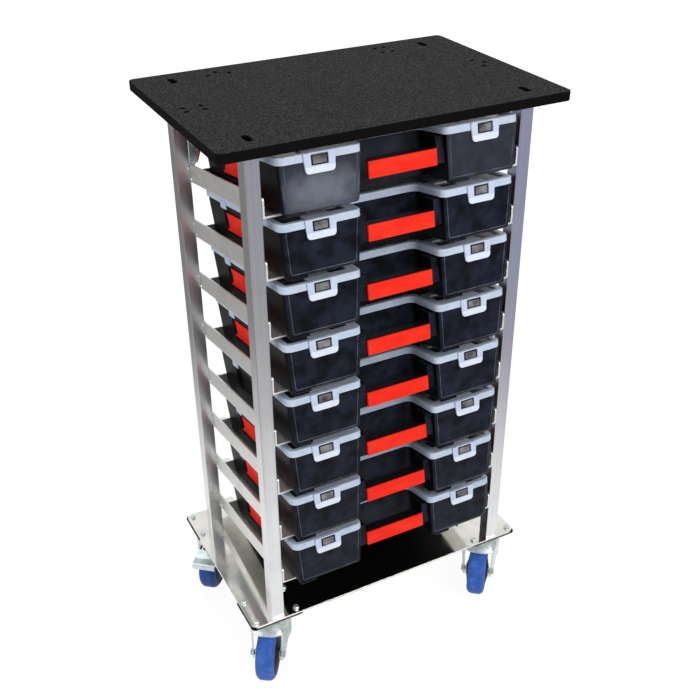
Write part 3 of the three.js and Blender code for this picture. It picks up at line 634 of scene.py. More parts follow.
# %% From shapes to pieces
def make_piece(name, shapes, body, stands_for=()):
    """shapes is a list of (shape, finish name). The finishes go on the mesh in the order they first come."""
    names = list(dict.fromkeys(finish for _, finish in shapes))
    points, faces, finish_of_face, count = [], [], [], 0
    for (shape_points, shape_faces), finish in shapes:
        points.append(shape_points)
        faces += [[index + count for index in face] for face in shape_faces]
        finish_of_face += [names.index(finish)] * len(shape_faces)
        count += len(shape_points)
    mesh = bpy.data.meshes.new(name)
    mesh.from_pydata(np.concatenate(points).tolist(), [], faces)
    for finish in names:
        mesh.materials.append(finishes[finish])
    mesh.polygons.foreach_set("material_index", finish_of_face)
    tidy = bmesh.new()
    tidy.from_mesh(mesh)
    bmesh.ops.remove_doubles(tidy, verts=tidy.verts, dist=0.001 * mm)
    bmesh.ops.recalc_face_normals(tidy, faces=tidy.faces)
    tidy.to_mesh(mesh)
    tidy.free()
    mesh.shade_smooth()
    mesh.set_sharp_from_angle(angle=math.radians(32))
    piece = bpy.data.objects.new(name, mesh)
    bpy.context.scene.collection.objects.link(piece)
    weighted = piece.modifiers.new("weighted_normal", "WEIGHTED_NORMAL")
    weighted.keep_sharp = True
    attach(piece, body)
    if stands_for:
        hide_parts(*stands_for)
    return piece


# %% [markdown]
# ## The worktop
#
# The board is a rounded plate. Four slots lie over the posts, and each shows the dark socket screw that
# holds the board down. The small holes are two sets of four in a rectangle, and two sets of three that
# stand as three ends of a cross.

# %% Worktop
top_width, top_depth = 600 * mm, 400 * mm
top_thick = worktop_high.z - worktop_low.z
slot_width, slot_length = 11 * mm, 27 * mm
tool_hole_radius = 4 * mm
slot_places = [(sx * 237.5 * mm, sy * 156.5 * mm) for sx in (-1, 1) for sy in (-1, 1)]
square_offsets = [(-9.5, -15), (9.5, -15), (-9.5, 15), (9.5, 15)]
cross_offsets = [(-18.5, 0), (0, 13.5), (18.5, 0)]
hole_places = [(-257 + y, 4 + x) for x, y in square_offsets]
hole_places += [(157 + x, 157 + y) for x, y in square_offsets]
hole_places += [(-157 + x, 157 + y) for x, y in cross_offsets]
hole_places += [(257 + y, 4 + x) for x, y in cross_offsets]


def worktop():
    """One plate over a rounded rectangle, with a rounded loop for each slot and a circle for each hole."""
    outline = rounded_rectangle(top_width, top_depth, 10 * mm, steps=10)
    holes = [rounded_rectangle(slot_width, slot_length, 5.4 * mm, centre=place, steps=6)
             for place in slot_places]
    holes += [polygon(24, tool_hole_radius, (x * mm, y * mm)) for x, y in hole_places]
    board = moved(plate(outline, top_thick, 1.2 * mm, holes), (centre_x, centre_y, worktop_low.z))
    return make_piece("worktop_board", [(board, "board")], "frame", ["worktop"])


def slot_screw():
    """A button head with a round socket, turned from its profile: a quarter ellipse over a short side."""
    angle = np.radians(np.linspace(0, 90, 7))
    crown = np.stack([3.9 * mm * np.cos(angle) + 0.2 * mm, 1 * mm + 1.8 * mm * np.sin(angle)], axis=1)
    side, socket = [[4.1 * mm, 0.4 * mm]], [[1.6 * mm, 2.7 * mm], [1.5 * mm, 1 * mm]]
    return turned_part(np.concatenate([side, crown[:-1], socket]), steps=24)


print("worktop", len(worktop().data.vertices), "points")
screws = [moved(slot_screw(), (centre_x + x, centre_y + y, worktop_low.z + 0.2 * mm)) for x, y in slot_places]
make_piece("worktop_screws", [(screw, "hub") for screw in screws], "frame")

# %% [markdown]
# ## Posts and rails
#
# A post is a square tube with slightly rounded corners: one closed profile through its wall, carried up the
# post.

# %% Posts
post_side = 25 * mm
post_bore = post_side - 4 * mm
frame_half = 250 * mm
post_height = worktop_low.z - base_top
print("posts of", round(post_height, 4), "m")


def post(x, y):
    """The tube's wall is a ring in four rows: outside up, then inside down."""
    outside = rounded_rectangle(post_side, post_side, 1.6 * mm, steps=5)
    inside = rounded_rectangle(post_bore, post_bore, 0.8 * mm, steps=5)
    rows = [(outside, 0), (outside, post_height), (inside, post_height), (inside, 0)]
    rings = [np.column_stack([loop + np.array([x, y]), np.full(len(loop), base_top + z)]) for loop, z in rows]
    return lofted(rings, wrap=True)


# %% [markdown]
# The rails are angles. Their profile is sheared instead of turned, because their ends are cut upright where
# they meet the faces of the posts. A stop plate at the rear of each rail keeps the case from sliding out at
# the back. Rails are counted from the lowest one, which is number 0.

# %% Rails and their stops
shelf_count = 8
rail_leg, rail_thick = 33 * mm, 3 * mm
lowest_rail = 23.33 * mm + (post_back - post_front) * math.tan(fall)
rail_pitch = (post_height - lowest_rail - 2.7 * mm) / shelf_count
print("lowest rail", lowest_rail, "pitch", rail_pitch)


def rail_foot(number):
    """The height of a rail's lower edge at the front posts: one pitch for each rail under it."""
    return base_top + lowest_rail + number * rail_pitch


def angle_profile(side):
    """The section of a rail seen from the front, with a small fillet inside and eased edges outside."""
    fillet, ease, heel_radius = 2 * mm, 0.8 * mm, 1.2 * mm
    corner = arc((rail_thick + fillet, rail_thick + fillet), fillet, 270, 180, 4)
    tip = arc((rail_thick - ease, rail_leg - ease), ease, 0, 90, 3)
    toe = arc((rail_leg - ease, rail_thick - ease), ease, 0, 90, 3)
    heel = arc((heel_radius, heel_radius), heel_radius, 180, 270, 3)
    loop = np.concatenate([heel, [[rail_leg, 0]], toe, corner, tip, [[0, rail_leg]]])
    return loop * np.array([-side, 1])


def rail(side, number):
    """Each cross section drops by tan(fall) for each step back, so the ends stay upright. At the front the
    upright leg has a round corner of radius r: at depth y its top is lower by r - sqrt(r^2 - (r - y)^2)."""
    profile = angle_profile(side)
    x = centre_x + side * (frame_half - post_side) + profile[:, 0]
    radius = 5 * mm
    depths = np.concatenate([radius * (1 - np.cos(np.linspace(0, np.pi / 2, 6))),
                             np.linspace(radius, post_back - post_front, 10)[1:]])
    rings = []
    for y in depths:
        cut_off = radius - math.sqrt(max(radius ** 2 - max(radius - y, 0) ** 2, 0))
        height = rail_foot(number) + np.minimum(profile[:, 1], rail_leg - cut_off) - y * math.tan(fall)
        rings.append(np.stack([x, np.full(len(x), post_front + y), height], axis=1))
    return lofted(rings)


def rail_stop(side, number):
    """An upright bar across the angle, behind the case. Like the rail, it falls by depth * tan(fall)."""
    width, thick, height = 30 * mm, 3 * mm, 24 * mm
    depth = 282.2 * mm
    x = centre_x + side * (frame_half - post_side - rail_thick - width / 2)
    z = rail_foot(number) - depth * math.tan(fall) + rail_thick + height / 2
    return moved(rounded_bar((width, thick, height), 0.6 * mm), (x, post_front + depth + thick / 2, z))


# %% [markdown]
# Small weld tacks hold each rail to its posts: one on the flat leg and one on the upright leg at the rear,
# and one at the front. No two are alike.

# %% Weld tacks
def weld_tack(place, size, seed):
    """A flattened drop whose radius wavers with a few sine waves, the same on every run."""
    across, around = np.meshgrid(
        np.linspace(0.12, np.pi - 0.12, 9), np.linspace(0, 2 * np.pi, 16, endpoint=False), indexing="ij",
    )
    radius = 1 + 0.16 * np.sin(3 * around + seed) * np.sin(2 * across + seed * 1.7)
    points = np.stack([
        np.cos(across), np.sin(across) * np.cos(around), np.sin(across) * np.sin(around),
    ], axis=-1)
    return moved(lofted(points * radius[..., None] * np.array(size)), place)


def tacks_of_rail(side, number):
    """The three tacks of a rail, each on a rail that falls by depth * tan(fall)."""
    face = centre_x + side * (frame_half - post_side)
    tacks = [(0.3 * mm, 311.5 * mm, 6 * mm, (2.4 * mm, 4.6 * mm, 3.2 * mm), 0),
             (1.5 * mm, 312.6 * mm, 27 * mm, (3.4 * mm, 1.6 * mm, 3 * mm), 1),
             (0.3 * mm, 26.4 * mm, 27 * mm, (1.8 * mm, 3.2 * mm, 2.6 * mm), 3)]
    return [
        weld_tack((face + side * out, post_front + depth, rail_foot(number) - depth * math.tan(fall) + lift),
                  size, number + seed)
        for out, depth, lift, size, seed in tacks
    ]


# %% [markdown]
# Posts, rails and tacks of a side are welded into one ladder. The two ladders mirror each other, so one
# loop makes both, with side at minus 1 on the left and 1 on the right.

# %% Put the frame together
sides = {"left": -1, "right": 1}
for side_name, side in sides.items():
    ladder = [f"{side_name}_side_frame"]
    x = centre_x + side * (frame_half - post_side / 2)
    for end, y in (("front", post_front + post_side / 2), ("rear", post_back - post_side / 2)):
        make_piece(f"{end}_{side_name}_post", [(post(x, y), "post")], "frame", ladder)
    rails = [rail(side, number) for number in range(shelf_count)]
    rails += [rail_stop(side, number) for number in range(shelf_count)]
    make_piece(f"{side_name}_rails", [(shape, "rail") for shape in rails], "frame", ladder)
    tacks = [tack for number in range(shelf_count) for tack in tacks_of_rail(side, number)]
    make_piece(f"{side_name}_weld_tacks", [(tack, "weld") for tack in tacks], "frame")
    print(side_name, "side:", len(rails) // 2, "rails,", len(tacks), "tacks")

# %% [markdown]
# A small zinc plate is welded to the rear left post just under the worktop, over the end of the top rail.
# Its lower edge slants up to a red strip.

# %% Small plate on the rear left post
def small_plate():
    """Two upright plates whose corners are given in x and height over the base plate."""
    sheet = [(-224.6, 821), (-224.6, 772), (-221.5, 769.5), (-213.5, 779), (-207.5, 796), (-206, 821)]
    strip = [(-210.8, 780), (-204.8, 796), (-203.2, 821), (-205.7, 821), (-207.2, 796), (-212.6, 780)]
    place = (centre_x, post_front + 315 * mm, base_top)
    return [(moved(upright_plate(np.array(sheet) * mm, 2 * mm, 0.5 * mm), place), "zinc"),
            (moved(upright_plate(np.array(strip) * mm, 2.6 * mm, 0.4 * mm), place), "red")]


small_piece = make_piece("small_rear_plate", small_plate(), "frame")
print("small plate", len(small_piece.data.vertices), "points")

# %% [markdown]
# ## The base plate
#
# A bright sheet with rounded corners. The bolts of the casters cover its holes, so the sheet is left whole.

# %% Base plate
base_size = base_high - base_low
base_middle = (base_low + base_high) / 2
base_sheet = plate(rounded_rectangle(base_size.x, base_size.y, 12 * mm), base_size.z, 0.5 * mm)
base_sheet = moved(base_sheet, (base_middle.x, base_middle.y, base_low.z))
make_piece("base_sheet", [(base_sheet, "sheet")], "frame", ["base_plate"])
print("base plate", [round(size, 4) for size in base_size])

# %% [markdown]
# ## The cases
#
# A case is drawn in its own frame: x across, v back along the rail and w square to the rail. `in_case` tips
# that frame by the fall of the rails and lifts it to its shelf. The outline of a case is a rectangle with a
# bay in its front for the handle. Each side of the bay leaves the back wall at a crease, flares out to a
# knee, runs forwards and turns into the front over a rounded corner.

# %% The frame and the outline of a case
def in_case(shape, number):
    """y = v cos(fall) + w sin(fall) and z = w cos(fall) - v sin(fall), measured from the front foot of the
    rail. Case 1 is the top one."""
    x, v, w = np.asarray(shape[0]).T
    y = v * math.cos(fall) + w * math.sin(fall)
    z = w * math.cos(fall) - v * math.sin(fall)
    return np.stack([centre_x + x, post_front + y, rail_foot(shelf_count - number) + z], axis=1), shape[1]


def bezier(p0, p1, p2, p3, steps):
    """A curve from p0 to p3: (1 - t)^3 p0 + 3 t (1 - t)^2 p1 + 3 t^2 (1 - t) p2 + t^3 p3."""
    t = np.linspace(0, 1, steps + 1)[:, None]
    p0, p1, p2, p3 = (np.array(p) for p in (p0, p1, p2, p3))
    return (1 - t) ** 3 * p0 + 3 * t * (1 - t) ** 2 * p1 + 3 * t ** 2 * (1 - t) * p2 + t ** 3 * p3


def case_outline(
    half, front, rear, bay_front, bay_back, bay_end, corner, bay_corner, side_stops=(), front_steps=(),
):
    """The right half runs from the middle of the bay to the middle of the rear, and the left half mirrors
    it. side_stops are depths of points on the side, and front_steps are (x, set-back) pairs on the front."""
    crease = np.array([bay_back, bay_end])
    knee = np.array([bay_back + 0.67 * (bay_front - bay_back), bay_end - 4 * mm])
    tip = np.array([bay_front, front])
    back = np.stack([np.linspace(0, bay_back, 7), np.full(7, bay_end)], axis=1)
    down = (tip - knee) / np.linalg.norm(tip - knee)
    flare = (knee - crease) / np.linalg.norm(knee - crease)
    bend = min(9 * mm, 0.8 * np.linalg.norm(knee - crease))
    sweep = bezier(knee - flare * bend, knee - 0.35 * flare * bend, knee + 0.35 * down * bend,
                   knee + down * bend, 9)
    turn = bezier(tip - down * bay_corner, tip - 0.4 * down * bay_corner,
                  tip + np.array([0.4 * bay_corner, 0]), tip + np.array([bay_corner, 0]), 8)
    stops = np.array(front_steps).reshape(-1, 2)
    face = np.stack([stops[:, 0], front + stops[:, 1]], axis=1)
    front_arc = arc((half - corner, front + corner), corner, -90, 0, 9)
    side = np.stack([np.full(len(side_stops), half), np.array(side_stops)], axis=1).reshape(-1, 2)
    rear_arc = arc((half - corner, rear - corner), corner, 0, 90, 7)
    rear_line = np.stack([np.linspace(half - corner, 0, 7)[1:], np.full(6, rear)], axis=1)
    right = np.concatenate([back, sweep, turn, face, front_arc, side, rear_arc, rear_line])
    left = right[-2:0:-1] * np.array([-1, 1])
    return np.concatenate([right, left])


# %% [markdown]
# The tray narrows downwards, so that it leaves its mould, and its lower edge is rounded. Its skin runs from
# the floor outside up the wall, over the rim, and down inside to the floor again. A pocket is pressed into
# both side walls for the side clips: there the wall moves inwards by about 5 mm, over 2 mm long flanks.

# %% Tray shell
seat_gap = 0.3 * mm
lid_top = rail_pitch * math.cos(fall) - 10.16 * mm
lid_bottom = lid_top - 12 * mm
tray_top = lid_bottom - seat_gap
tray_bottom = rail_thick * math.cos(fall) + seat_gap
tray_half, tray_front, tray_rear = 206.5 * mm, -33 * mm, 280.5 * mm
side_draft, front_draft, rear_draft, bay_draft = 4.5 * mm, 7 * mm, 2 * mm, 5 * mm
pocket_v = (46.5 * mm, 208.5 * mm)
pocket_w = (25 * mm, 71 * mm)
pocket_depth = 4.8 * mm
flank = 2 * mm
print("tray from", round(tray_bottom, 4), "to", round(tray_top, 4), "over the rail")


def ramp_between(value, low, high):
    """1 inside the span and 0 outside it, with straight flanks."""
    return np.clip((value - low) / flank, 0, 1) * np.clip((high - value) / flank, 0, 1)


def draft_share(w):
    """0 at the rim of the tray and 1 at its foot: how much of the draft a level has."""
    return (tray_top - w) / (tray_top - tray_bottom)


def tray_ring(w, inset):
    """One level of the tray's wall, with the draft of that level. In the pocket, x goes from the wall to
    the pocket's floor by the product of two ramps, one along the wall and one up it."""
    drop = draft_share(w)
    pocket_stops = [
        pocket_v[0], pocket_v[0] + flank, 90 * mm, 127 * mm, 165 * mm, pocket_v[1] - flank, pocket_v[1],
    ]
    loop = case_outline(
        half=tray_half - side_draft * drop - inset, front=tray_front + front_draft * drop + inset,
        rear=tray_rear - rear_draft * drop - inset, bay_front=73.5 * mm + bay_draft * drop + inset,
        bay_back=55.5 * mm + bay_draft * drop + inset, bay_end=43 * mm + bay_draft * drop + inset,
        corner=max(7 * mm - inset, 1 * mm), bay_corner=max(2.4 * mm - inset, 0.5 * mm),
        side_stops=pocket_stops + [240 * mm], front_steps=[(x * mm, 0) for x in (100, 120, 142, 164, 180)],
    )
    on_side = np.abs(loop[:, 0]) > 195 * mm
    on_side &= (loop[:, 1] > pocket_v[0] - mm) & (loop[:, 1] < pocket_v[1] + mm)
    press = np.where(on_side, ramp_between(loop[:, 1], *pocket_v) * ramp_between(w, *pocket_w), 0)
    wall_x = (tray_half - pocket_depth) - inset - side_draft * 0.5
    x = np.where(press > 0, np.sign(loop[:, 0]) * (np.abs(loop[:, 0]) * (1 - press) + wall_x * press),
                 loop[:, 0])
    return np.column_stack([x, loop[:, 1], np.full(len(loop), w)])


def tray_shell():
    """A loft over levels of (height, inset): a quarter circle at the foot, then the outer and inner walls."""
    edge, wall, inner_edge = 6 * mm, 2.2 * mm, 5 * mm
    angle = np.linspace(0, np.pi / 2, 6)
    levels = [(tray_bottom + edge * (1 - math.cos(a)), edge * (1 - math.sin(a))) for a in angle]
    pocket_levels = [pocket_w[0], pocket_w[0] + flank, 48 * mm, pocket_w[1] - flank, pocket_w[1]]
    levels += [(w, 0) for w in pocket_levels + [tray_top - 0.6 * mm]]
    levels += [(tray_top, 0.5 * mm), (tray_top, wall)]
    levels += [(w, wall) for w in pocket_levels[::-1]] + [(tray_bottom + wall + inner_edge, wall)]
    levels += [(tray_bottom + wall, wall + inner_edge)]
    return lofted(np.stack([tray_ring(w, inset) for w, inset in levels]))


# %% [markdown]
# The handle is a black bar across the bay. Its ends turn into brackets that rise where they meet the sides
# of the bay, and the red grip is snapped on in front of it.

# %% Handle bar and grip
bar_front, bar_depth = -22.7 * mm, 24 * mm
bar_middle = 47 * mm
grip_half, grip_height = 60 * mm, 26.3 * mm


def handle_bar():
    """A rounded bar between two upright plates, the left one the mirror image of the right one."""
    beam = rounded_bar((150 * mm, bar_depth, 25.6 * mm), 1.6 * mm)
    bracket = np.array([(60.2, 34.6), (79.2, 34.6), (77.2, 76.8), (60.2, 76.8)]) * mm
    right = moved(upright_plate(bracket, 33 * mm, 1.2 * mm), (0, bar_front + 33.6 * mm, 0))
    return [moved(beam, (0, bar_front + bar_depth / 2, bar_middle)), right, mirrored(right)]


def grip_cover():
    """A cover whose section, seen from above, has wide round corners in front, carried up its height."""
    wide, narrow, depth_half = 2.7 * mm, 1.2 * mm, 2 * mm
    outline = np.concatenate([
        arc((grip_half - narrow, depth_half - narrow), narrow, 0, 90, 3),
        arc((-grip_half + narrow, depth_half - narrow), narrow, 90, 180, 3),
        arc((-grip_half + wide, -depth_half + wide), wide, 180, 270, 7),
        arc((grip_half - wide, -depth_half + wide), wide, 270, 360, 7),
    ])
    cover = plate(outline, grip_height, 1.1 * mm, steps=5)
    return moved(cover, (0, bar_front - 2.3 * mm, bar_middle - grip_height / 2))


# %% [markdown]
# Behind the window of each latch stands a catch, which the latch snaps over. It is a block with a coarse
# grain on a black surround. Two low feet under the front and two knuckles at the rear complete the tray.

# %% Catches, feet and knuckles
latch_x = 142 * mm


def catch_shapes(side):
    """Two upright plates: the grained block, on a black surround that nearly fills the latch's window."""
    surround = rounded_rectangle(27 * mm, 14.6 * mm, 0.8 * mm, centre=(0, -11.4 * mm), steps=3)
    block = rounded_rectangle(22.4 * mm, 12 * mm, 0.8 * mm, centre=(0, -10.8 * mm), steps=3)
    place = (side * latch_x, -31.6 * mm, lid_top)
    return [(moved(upright_plate(surround, 4.4 * mm, 0.5 * mm), place), "black"),
            (moved(upright_plate(block, 5 * mm, 0.4 * mm), place), "catch")]


def foot(left):
    """A low rounded bar under the front of the tray, from its left end at x = left."""
    width, depth, height = 32 * mm, 16 * mm, 4 * mm
    place = (left + width / 2, -17.8 * mm, tray_bottom - 0.4 * mm)
    return moved(rounded_bar((width, depth, height), 0.7 * mm), place)


def knuckle(side):
    """A rounded bar on the rear wall, where the hinge of the lid is."""
    return moved(rounded_bar((30 * mm, 9 * mm, 12 * mm), 1.5 * mm), (side * 150 * mm, 283.5 * mm, 72.4 * mm))


# %% [markdown]
# A fine bead runs along the edges of each front wall, left and right of the bay. It is a round wire that is
# half sunk into the wall, carried down one side, along the foot and up the other side. Its grey is a painted
# highlight: the bead is painted much lighter than the black wall, as the edge catches the light.

# %% Bead on the front wall
bead_near, bead_far, bead_corner = 79.5 * mm, 198.5 * mm, 4 * mm


def round_bead(line, radius):
    """A half-sunk wire along a line that lies in a forward-facing wall: with T the direction of the line
    and N the way forwards, each ring is the line's point + radius * (N cos a + T x N sin a)."""
    line = np.asarray(line)
    along = np.gradient(line, axis=0)
    along /= np.linalg.norm(along, axis=1, keepdims=True)
    forwards = np.array([0.0, -1.0, 0.0])
    angle = np.linspace(0, 2 * np.pi, 8, endpoint=False)[None, :, None]
    sideways = np.cross(along, forwards)[:, None]
    rings = line[:, None] + radius * (np.cos(angle) * forwards + np.sin(angle) * sideways)
    return lofted(rings)


def front_bead(side):
    """Down one side, round a corner, along the foot, round a corner and up the other side. Like the wall,
    the line leans by its share of the draft: inwards at both ends and backwards at the front."""
    near, far, corner = bead_near, bead_far, bead_corner
    low, high = tray_bottom + 6.5 * mm, tray_top - 1 * mm
    x, w = np.concatenate([
        np.stack([np.full(8, near), np.linspace(high, low + corner, 8)], axis=1)[:-1],
        arc((near + corner, low + corner), corner, 180, 270, 5),
        np.stack([np.linspace(near + corner, far - corner, 10), np.full(10, low)], axis=1)[1:-1],
        arc((far - corner, low + corner), corner, 270, 360, 5),
        np.stack([np.full(8, far), np.linspace(low + corner, high, 8)], axis=1)[1:],
    ]).T
    drop = draft_share(w)
    x = x + drop * np.interp(x, [near, far], [bay_draft, -side_draft])
    return round_bead(np.stack([side * x, tray_front + front_draft * drop, w], axis=1), 0.7 * mm)


# %% [markdown]
# The lid has a raised band round its edge, with a soft outer edge and a bevel down to the sunk panel. At
# each latch the front of the band steps back by 2 mm, which shows as a fine slit beside the latch. On the
# front corners a low pad, painted whiter as painted light, stands on the panel, and its dent shows the
# panel's painted shade.

# %% Lid
def lid_ring(w, inset):
    """The outline of the lid at height w, drawn in by inset, with a step back in the front at each latch."""
    notch = [(115.9, 0), (116.1, 2), (142, 2), (167.9, 2), (168.1, 0)]
    steps = [(x * mm, max(step * mm - inset, 0)) for x, step in notch]
    loop = case_outline(
        half=208 * mm - inset, front=-34.5 * mm + inset, rear=291.5 * mm - inset, bay_front=72 * mm + inset,
        bay_back=54 * mm + inset, bay_end=41.5 * mm + inset, corner=max(14 * mm - inset, 3 * mm),
        bay_corner=max(11 * mm - inset, 3 * mm), front_steps=steps,
        side_stops=[v * mm for v in (60, 120, 180, 240)],
    )
    return np.column_stack([loop, np.full(len(loop), w)])


def lid_shell():
    """Two lofts over levels of (height, inset): the band, which closes on itself, and the panel inside it."""
    edge = 2 * mm
    angle = np.linspace(0, np.pi / 2, 5)
    outside = [(lid_bottom, 3.6 * mm), (lid_bottom, 0.3 * mm), (lid_bottom + 0.5 * mm, 0)]
    outside += [(lid_top - edge + edge * math.sin(a), edge * (1 - math.cos(a))) for a in angle]
    inside = [(lid_top, 9 * mm), (lid_top - 0.6 * mm, 10.2 * mm), (lid_top - 3 * mm, 11.5 * mm)]
    under = [(lid_bottom + 2 * mm, 11.5 * mm), (lid_bottom + 2 * mm, 3.6 * mm)]
    band = lofted(np.stack([lid_ring(w, inset) for w, inset in outside + inside + under]), wrap=True)
    panel_levels = [(lid_top - 5.5 * mm, 11.7 * mm), (lid_top - 3.1 * mm, 11.7 * mm)]
    panel = lofted(np.stack([lid_ring(w, inset) for w, inset in panel_levels]))
    return band, panel


def lid_pad(side):
    """A low plate whose outline is four arcs, with a hole for the dent. The left pad mirrors the right."""
    outline = np.concatenate([
        arc((84 * mm, 30 * mm), 6 * mm, 90, 180, 5), arc((92 * mm, -18 * mm), 12 * mm, 180, 270, 6),
        arc((156 * mm, -24 * mm), 6 * mm, -90, -20, 4), arc((150 * mm, 30 * mm), 6 * mm, 0, 90, 5),
    ])
    dent = rounded_rectangle(30 * mm, 30 * mm, 4 * mm, centre=(102 * mm, 4 * mm))
    pad = moved(plate(outline, 2.6 * mm, 0.8 * mm, [dent]), (0, 0, lid_top - 3.1 * mm))
    return pad if side > 0 else mirrored(pad)


# %% [markdown]
# A latch hangs from the rim of the lid. It is a frame round a window: straight at the top, slightly
# narrower at the foot, with round lower corners, and the catch of the tray shows in the window.

# %% Latch
def latch_shapes(side):
    """The frame with its window, and the thicker grip bar along its foot."""
    half_top, half_foot, drop, shoulder, radius = 25.5 * mm, 24 * mm, 30.5 * mm, 12 * mm, 6 * mm
    foot_left = arc((-half_foot + radius, -drop + radius), radius, 180, 270, 7)
    foot_right = arc((half_foot - radius, -drop + radius), radius, 270, 360, 7)
    outline = np.concatenate([
        foot_right, [(half_top - 0.3 * mm, -shoulder), (half_top, -shoulder + 2 * mm), (half_top, 0)],
        [(-half_top, 0), (-half_top, -shoulder + 2 * mm), (-half_top + 0.3 * mm, -shoulder)], foot_left,
    ])
    window = rounded_rectangle(27.6 * mm, 16.4 * mm, 0.8 * mm, centre=(0, -10.6 * mm), steps=3)
    bar_top = -20.2 * mm
    bar = np.concatenate([
        foot_right, [(half_foot + 0.4 * mm, bar_top), (-half_foot - 0.4 * mm, bar_top)], foot_left,
    ])
    place = (side * latch_x, -33.55 * mm, lid_top)
    return [(moved(upright_plate(outline, 3.5 * mm, 0.9 * mm, [window]), place), "latch"),
            (moved(upright_plate(bar, 3.95 * mm, 1 * mm), place), "latch_bar")]


# %% [markdown]
# The red side clip lies in the pocket of the side wall. Its rear edge has a notch, and a small tab of the
# lid hangs over the pocket. The fifth case from the top has lost its left clip, and its pocket is bare.

# %% Side clip
case_without_left_clip = 5
clip_back = 199.3 * mm


def side_clip(side):
    """A plate drawn in v and w that stands upright: its thickness runs outwards from the pocket's floor."""
    outline = np.array([(206, 32), (210, 33.5), (198, 39.5), (200, 50), (206, 62), (50, 63), (50, 32)]) * mm
    points, faces = plate(outline, 3.2 * mm, 0.7 * mm)
    return np.stack([side * (clip_back + points[:, 2]), points[:, 0], points[:, 1]], axis=1), faces


def lid_lug(side):
    """The tab of the lid: a thin rounded bar on the side of the band."""
    shape = rounded_bar((2.6 * mm, 24 * mm, 13 * mm), 0.8 * mm)
    return moved(shape, (side * 208.6 * mm, 197.5 * mm, 78.6 * mm))


# %% [markdown]
# The shapes of a case are worked out once and then placed on each of the eight shelves. Only the top case
# has the skin with the painted sheen on its left front. Tray, lid and grip ride on the case, and each latch
# rides on its own hinge.

# %% Put the cases together
band, panel = lid_shell()
shell = tray_shell()
tray_shapes = [(shape, "black") for shape in handle_bar()]
tray_shapes += [(foot(-199 * mm), "black"), (foot(84 * mm), "black")]
tray_shapes += [(knuckle(side), "black") for side in sides.values()]
tray_shapes += catch_shapes(-1) + catch_shapes(1) + [(front_bead(side), "bead") for side in sides.values()]
lid_shapes = [(band, "lid"), (panel, "panel")] + [(lid_pad(side), "lid_top") for side in sides.values()]
lid_shapes += [(lid_lug(side), "lid") for side in sides.values()]
grip_shapes = [(grip_cover(), "red")]
latch_of = {side_name: latch_shapes(side) for side_name, side in sides.items()}
clip_of = {side_name: [(side_clip(side), "red")] for side_name, side in sides.items()}


def in_case_all(shapes, number):
    """Each shape of a list tipped and lifted onto its shelf."""
    return [(in_case(shape, number), finish) for shape, finish in shapes]


for number in range(1, shelf_count + 1):
    case = f"case_{number}"
    # The top case's skin carries the painted sheen.
    skin = "painted_sheen" if number == 1 else "black"
    make_piece(f"{case}_moulding", in_case_all([(shell, skin)] + tray_shapes, number), case, [f"{case}_tray"])
    make_piece(f"{case}_lid_moulding", in_case_all(lid_shapes, number), case, [f"{case}_lid"])
    make_piece(f"{case}_grip_cover", in_case_all(grip_shapes, number), case, [f"{case}_grip"])
    for side_name in sides:
        latch = f"{case}_latch_{side_name}"
        make_piece(f"{latch}_frame", in_case_all(latch_of[side_name], number), latch, [latch])
        if side_name == "right" or number != case_without_left_clip:
            make_piece(f"{case}_{side_name}_clip", in_case_all(clip_of[side_name], number), case)
print(shelf_count, "cases, each tray with", len(shell[0]), "points in its shell")

# %% [markdown]
# ## The casters
#
# A caster has a fixed half and a turning half. The fixed half is a plate with a raised ball race and four
# bolts whose hexagon heads stand on the base plate. The turning half is a fork pressed from sheet: a dished
# crown and two legs that taper to the axle. All is drawn round the kingpin with the wheel towards +x, and
# turned into place at the end.

# %% Plate, race and bolts
plate_top = base_low.z
plate_thick = 3 * mm
wheel_radius = 50 * mm
trail = 40 * mm
race_height = 8 * mm
crown_top = plate_top - plate_thick - race_height - 0.5 * mm
swivel_degrees = {"front_left": 236, "front_right": 230, "rear_left": 231, "rear_right": 238}
print("crown at", round(crown_top, 4), "m")


def hexagon_bolt(x, y):
    """A thin turned washer and a six-sided plate with eased edges, standing on the base plate."""
    washer = turned_part([(5.7 * mm, 0), (6 * mm, 0.2 * mm), (6 * mm, 0.7 * mm), (5.7 * mm, 0.9 * mm)],
                         steps=32)
    head = plate(polygon(6, 5 * mm), 4.1 * mm, 0.6 * mm)
    return [moved(washer, (x, y, base_top)), moved(head, (x, y, base_top + 0.85 * mm))]


def caster_top(x, y):
    """The plate with its edge in painted shade, the turned race below it, the kingpin and its nut, and the
    four bolts.
    """
    top = plate(rounded_rectangle(105 * mm, 84 * mm, 8 * mm), 2.9 * mm, 0.6 * mm)
    shade_band = plate(rounded_rectangle(105.3 * mm, 84.3 * mm, 8.1 * mm), 2 * mm, 0.2 * mm)
    race = turned_part([
        (20 * mm, 0), (31 * mm, 0), (31 * mm, 2 * mm), (29.5 * mm, 4 * mm), (30.5 * mm, 5.5 * mm),
        (30.5 * mm, race_height), (20 * mm, race_height + 0.1 * mm),
    ], steps=64)
    pin = turned_part([(6 * mm, 0), (6 * mm, 20 * mm)], steps=24)
    nut = plate(polygon(6, 9.9 * mm), 5 * mm, 0.6 * mm)
    zinc = [
        moved(top, (x, y, plate_top - plate_thick)),
        moved(race, (x, y, plate_top - plate_thick - race_height)),
        moved(pin, (x, y, crown_top - 8 * mm)), moved(nut, (x, y, crown_top - 8.5 * mm)),
    ]
    for dx in (-40.5 * mm, 40.5 * mm):
        for dy in (-29 * mm, 29 * mm):
            zinc += hexagon_bolt(x + dx, y + dy)
    # The dark band on the plate's upper edge is painted shade, under the rim of the base plate.
    return [(part, "zinc") for part in zinc] + [(moved(shade_band, (x, y, plate_top - 2.1 * mm)), "edge")]


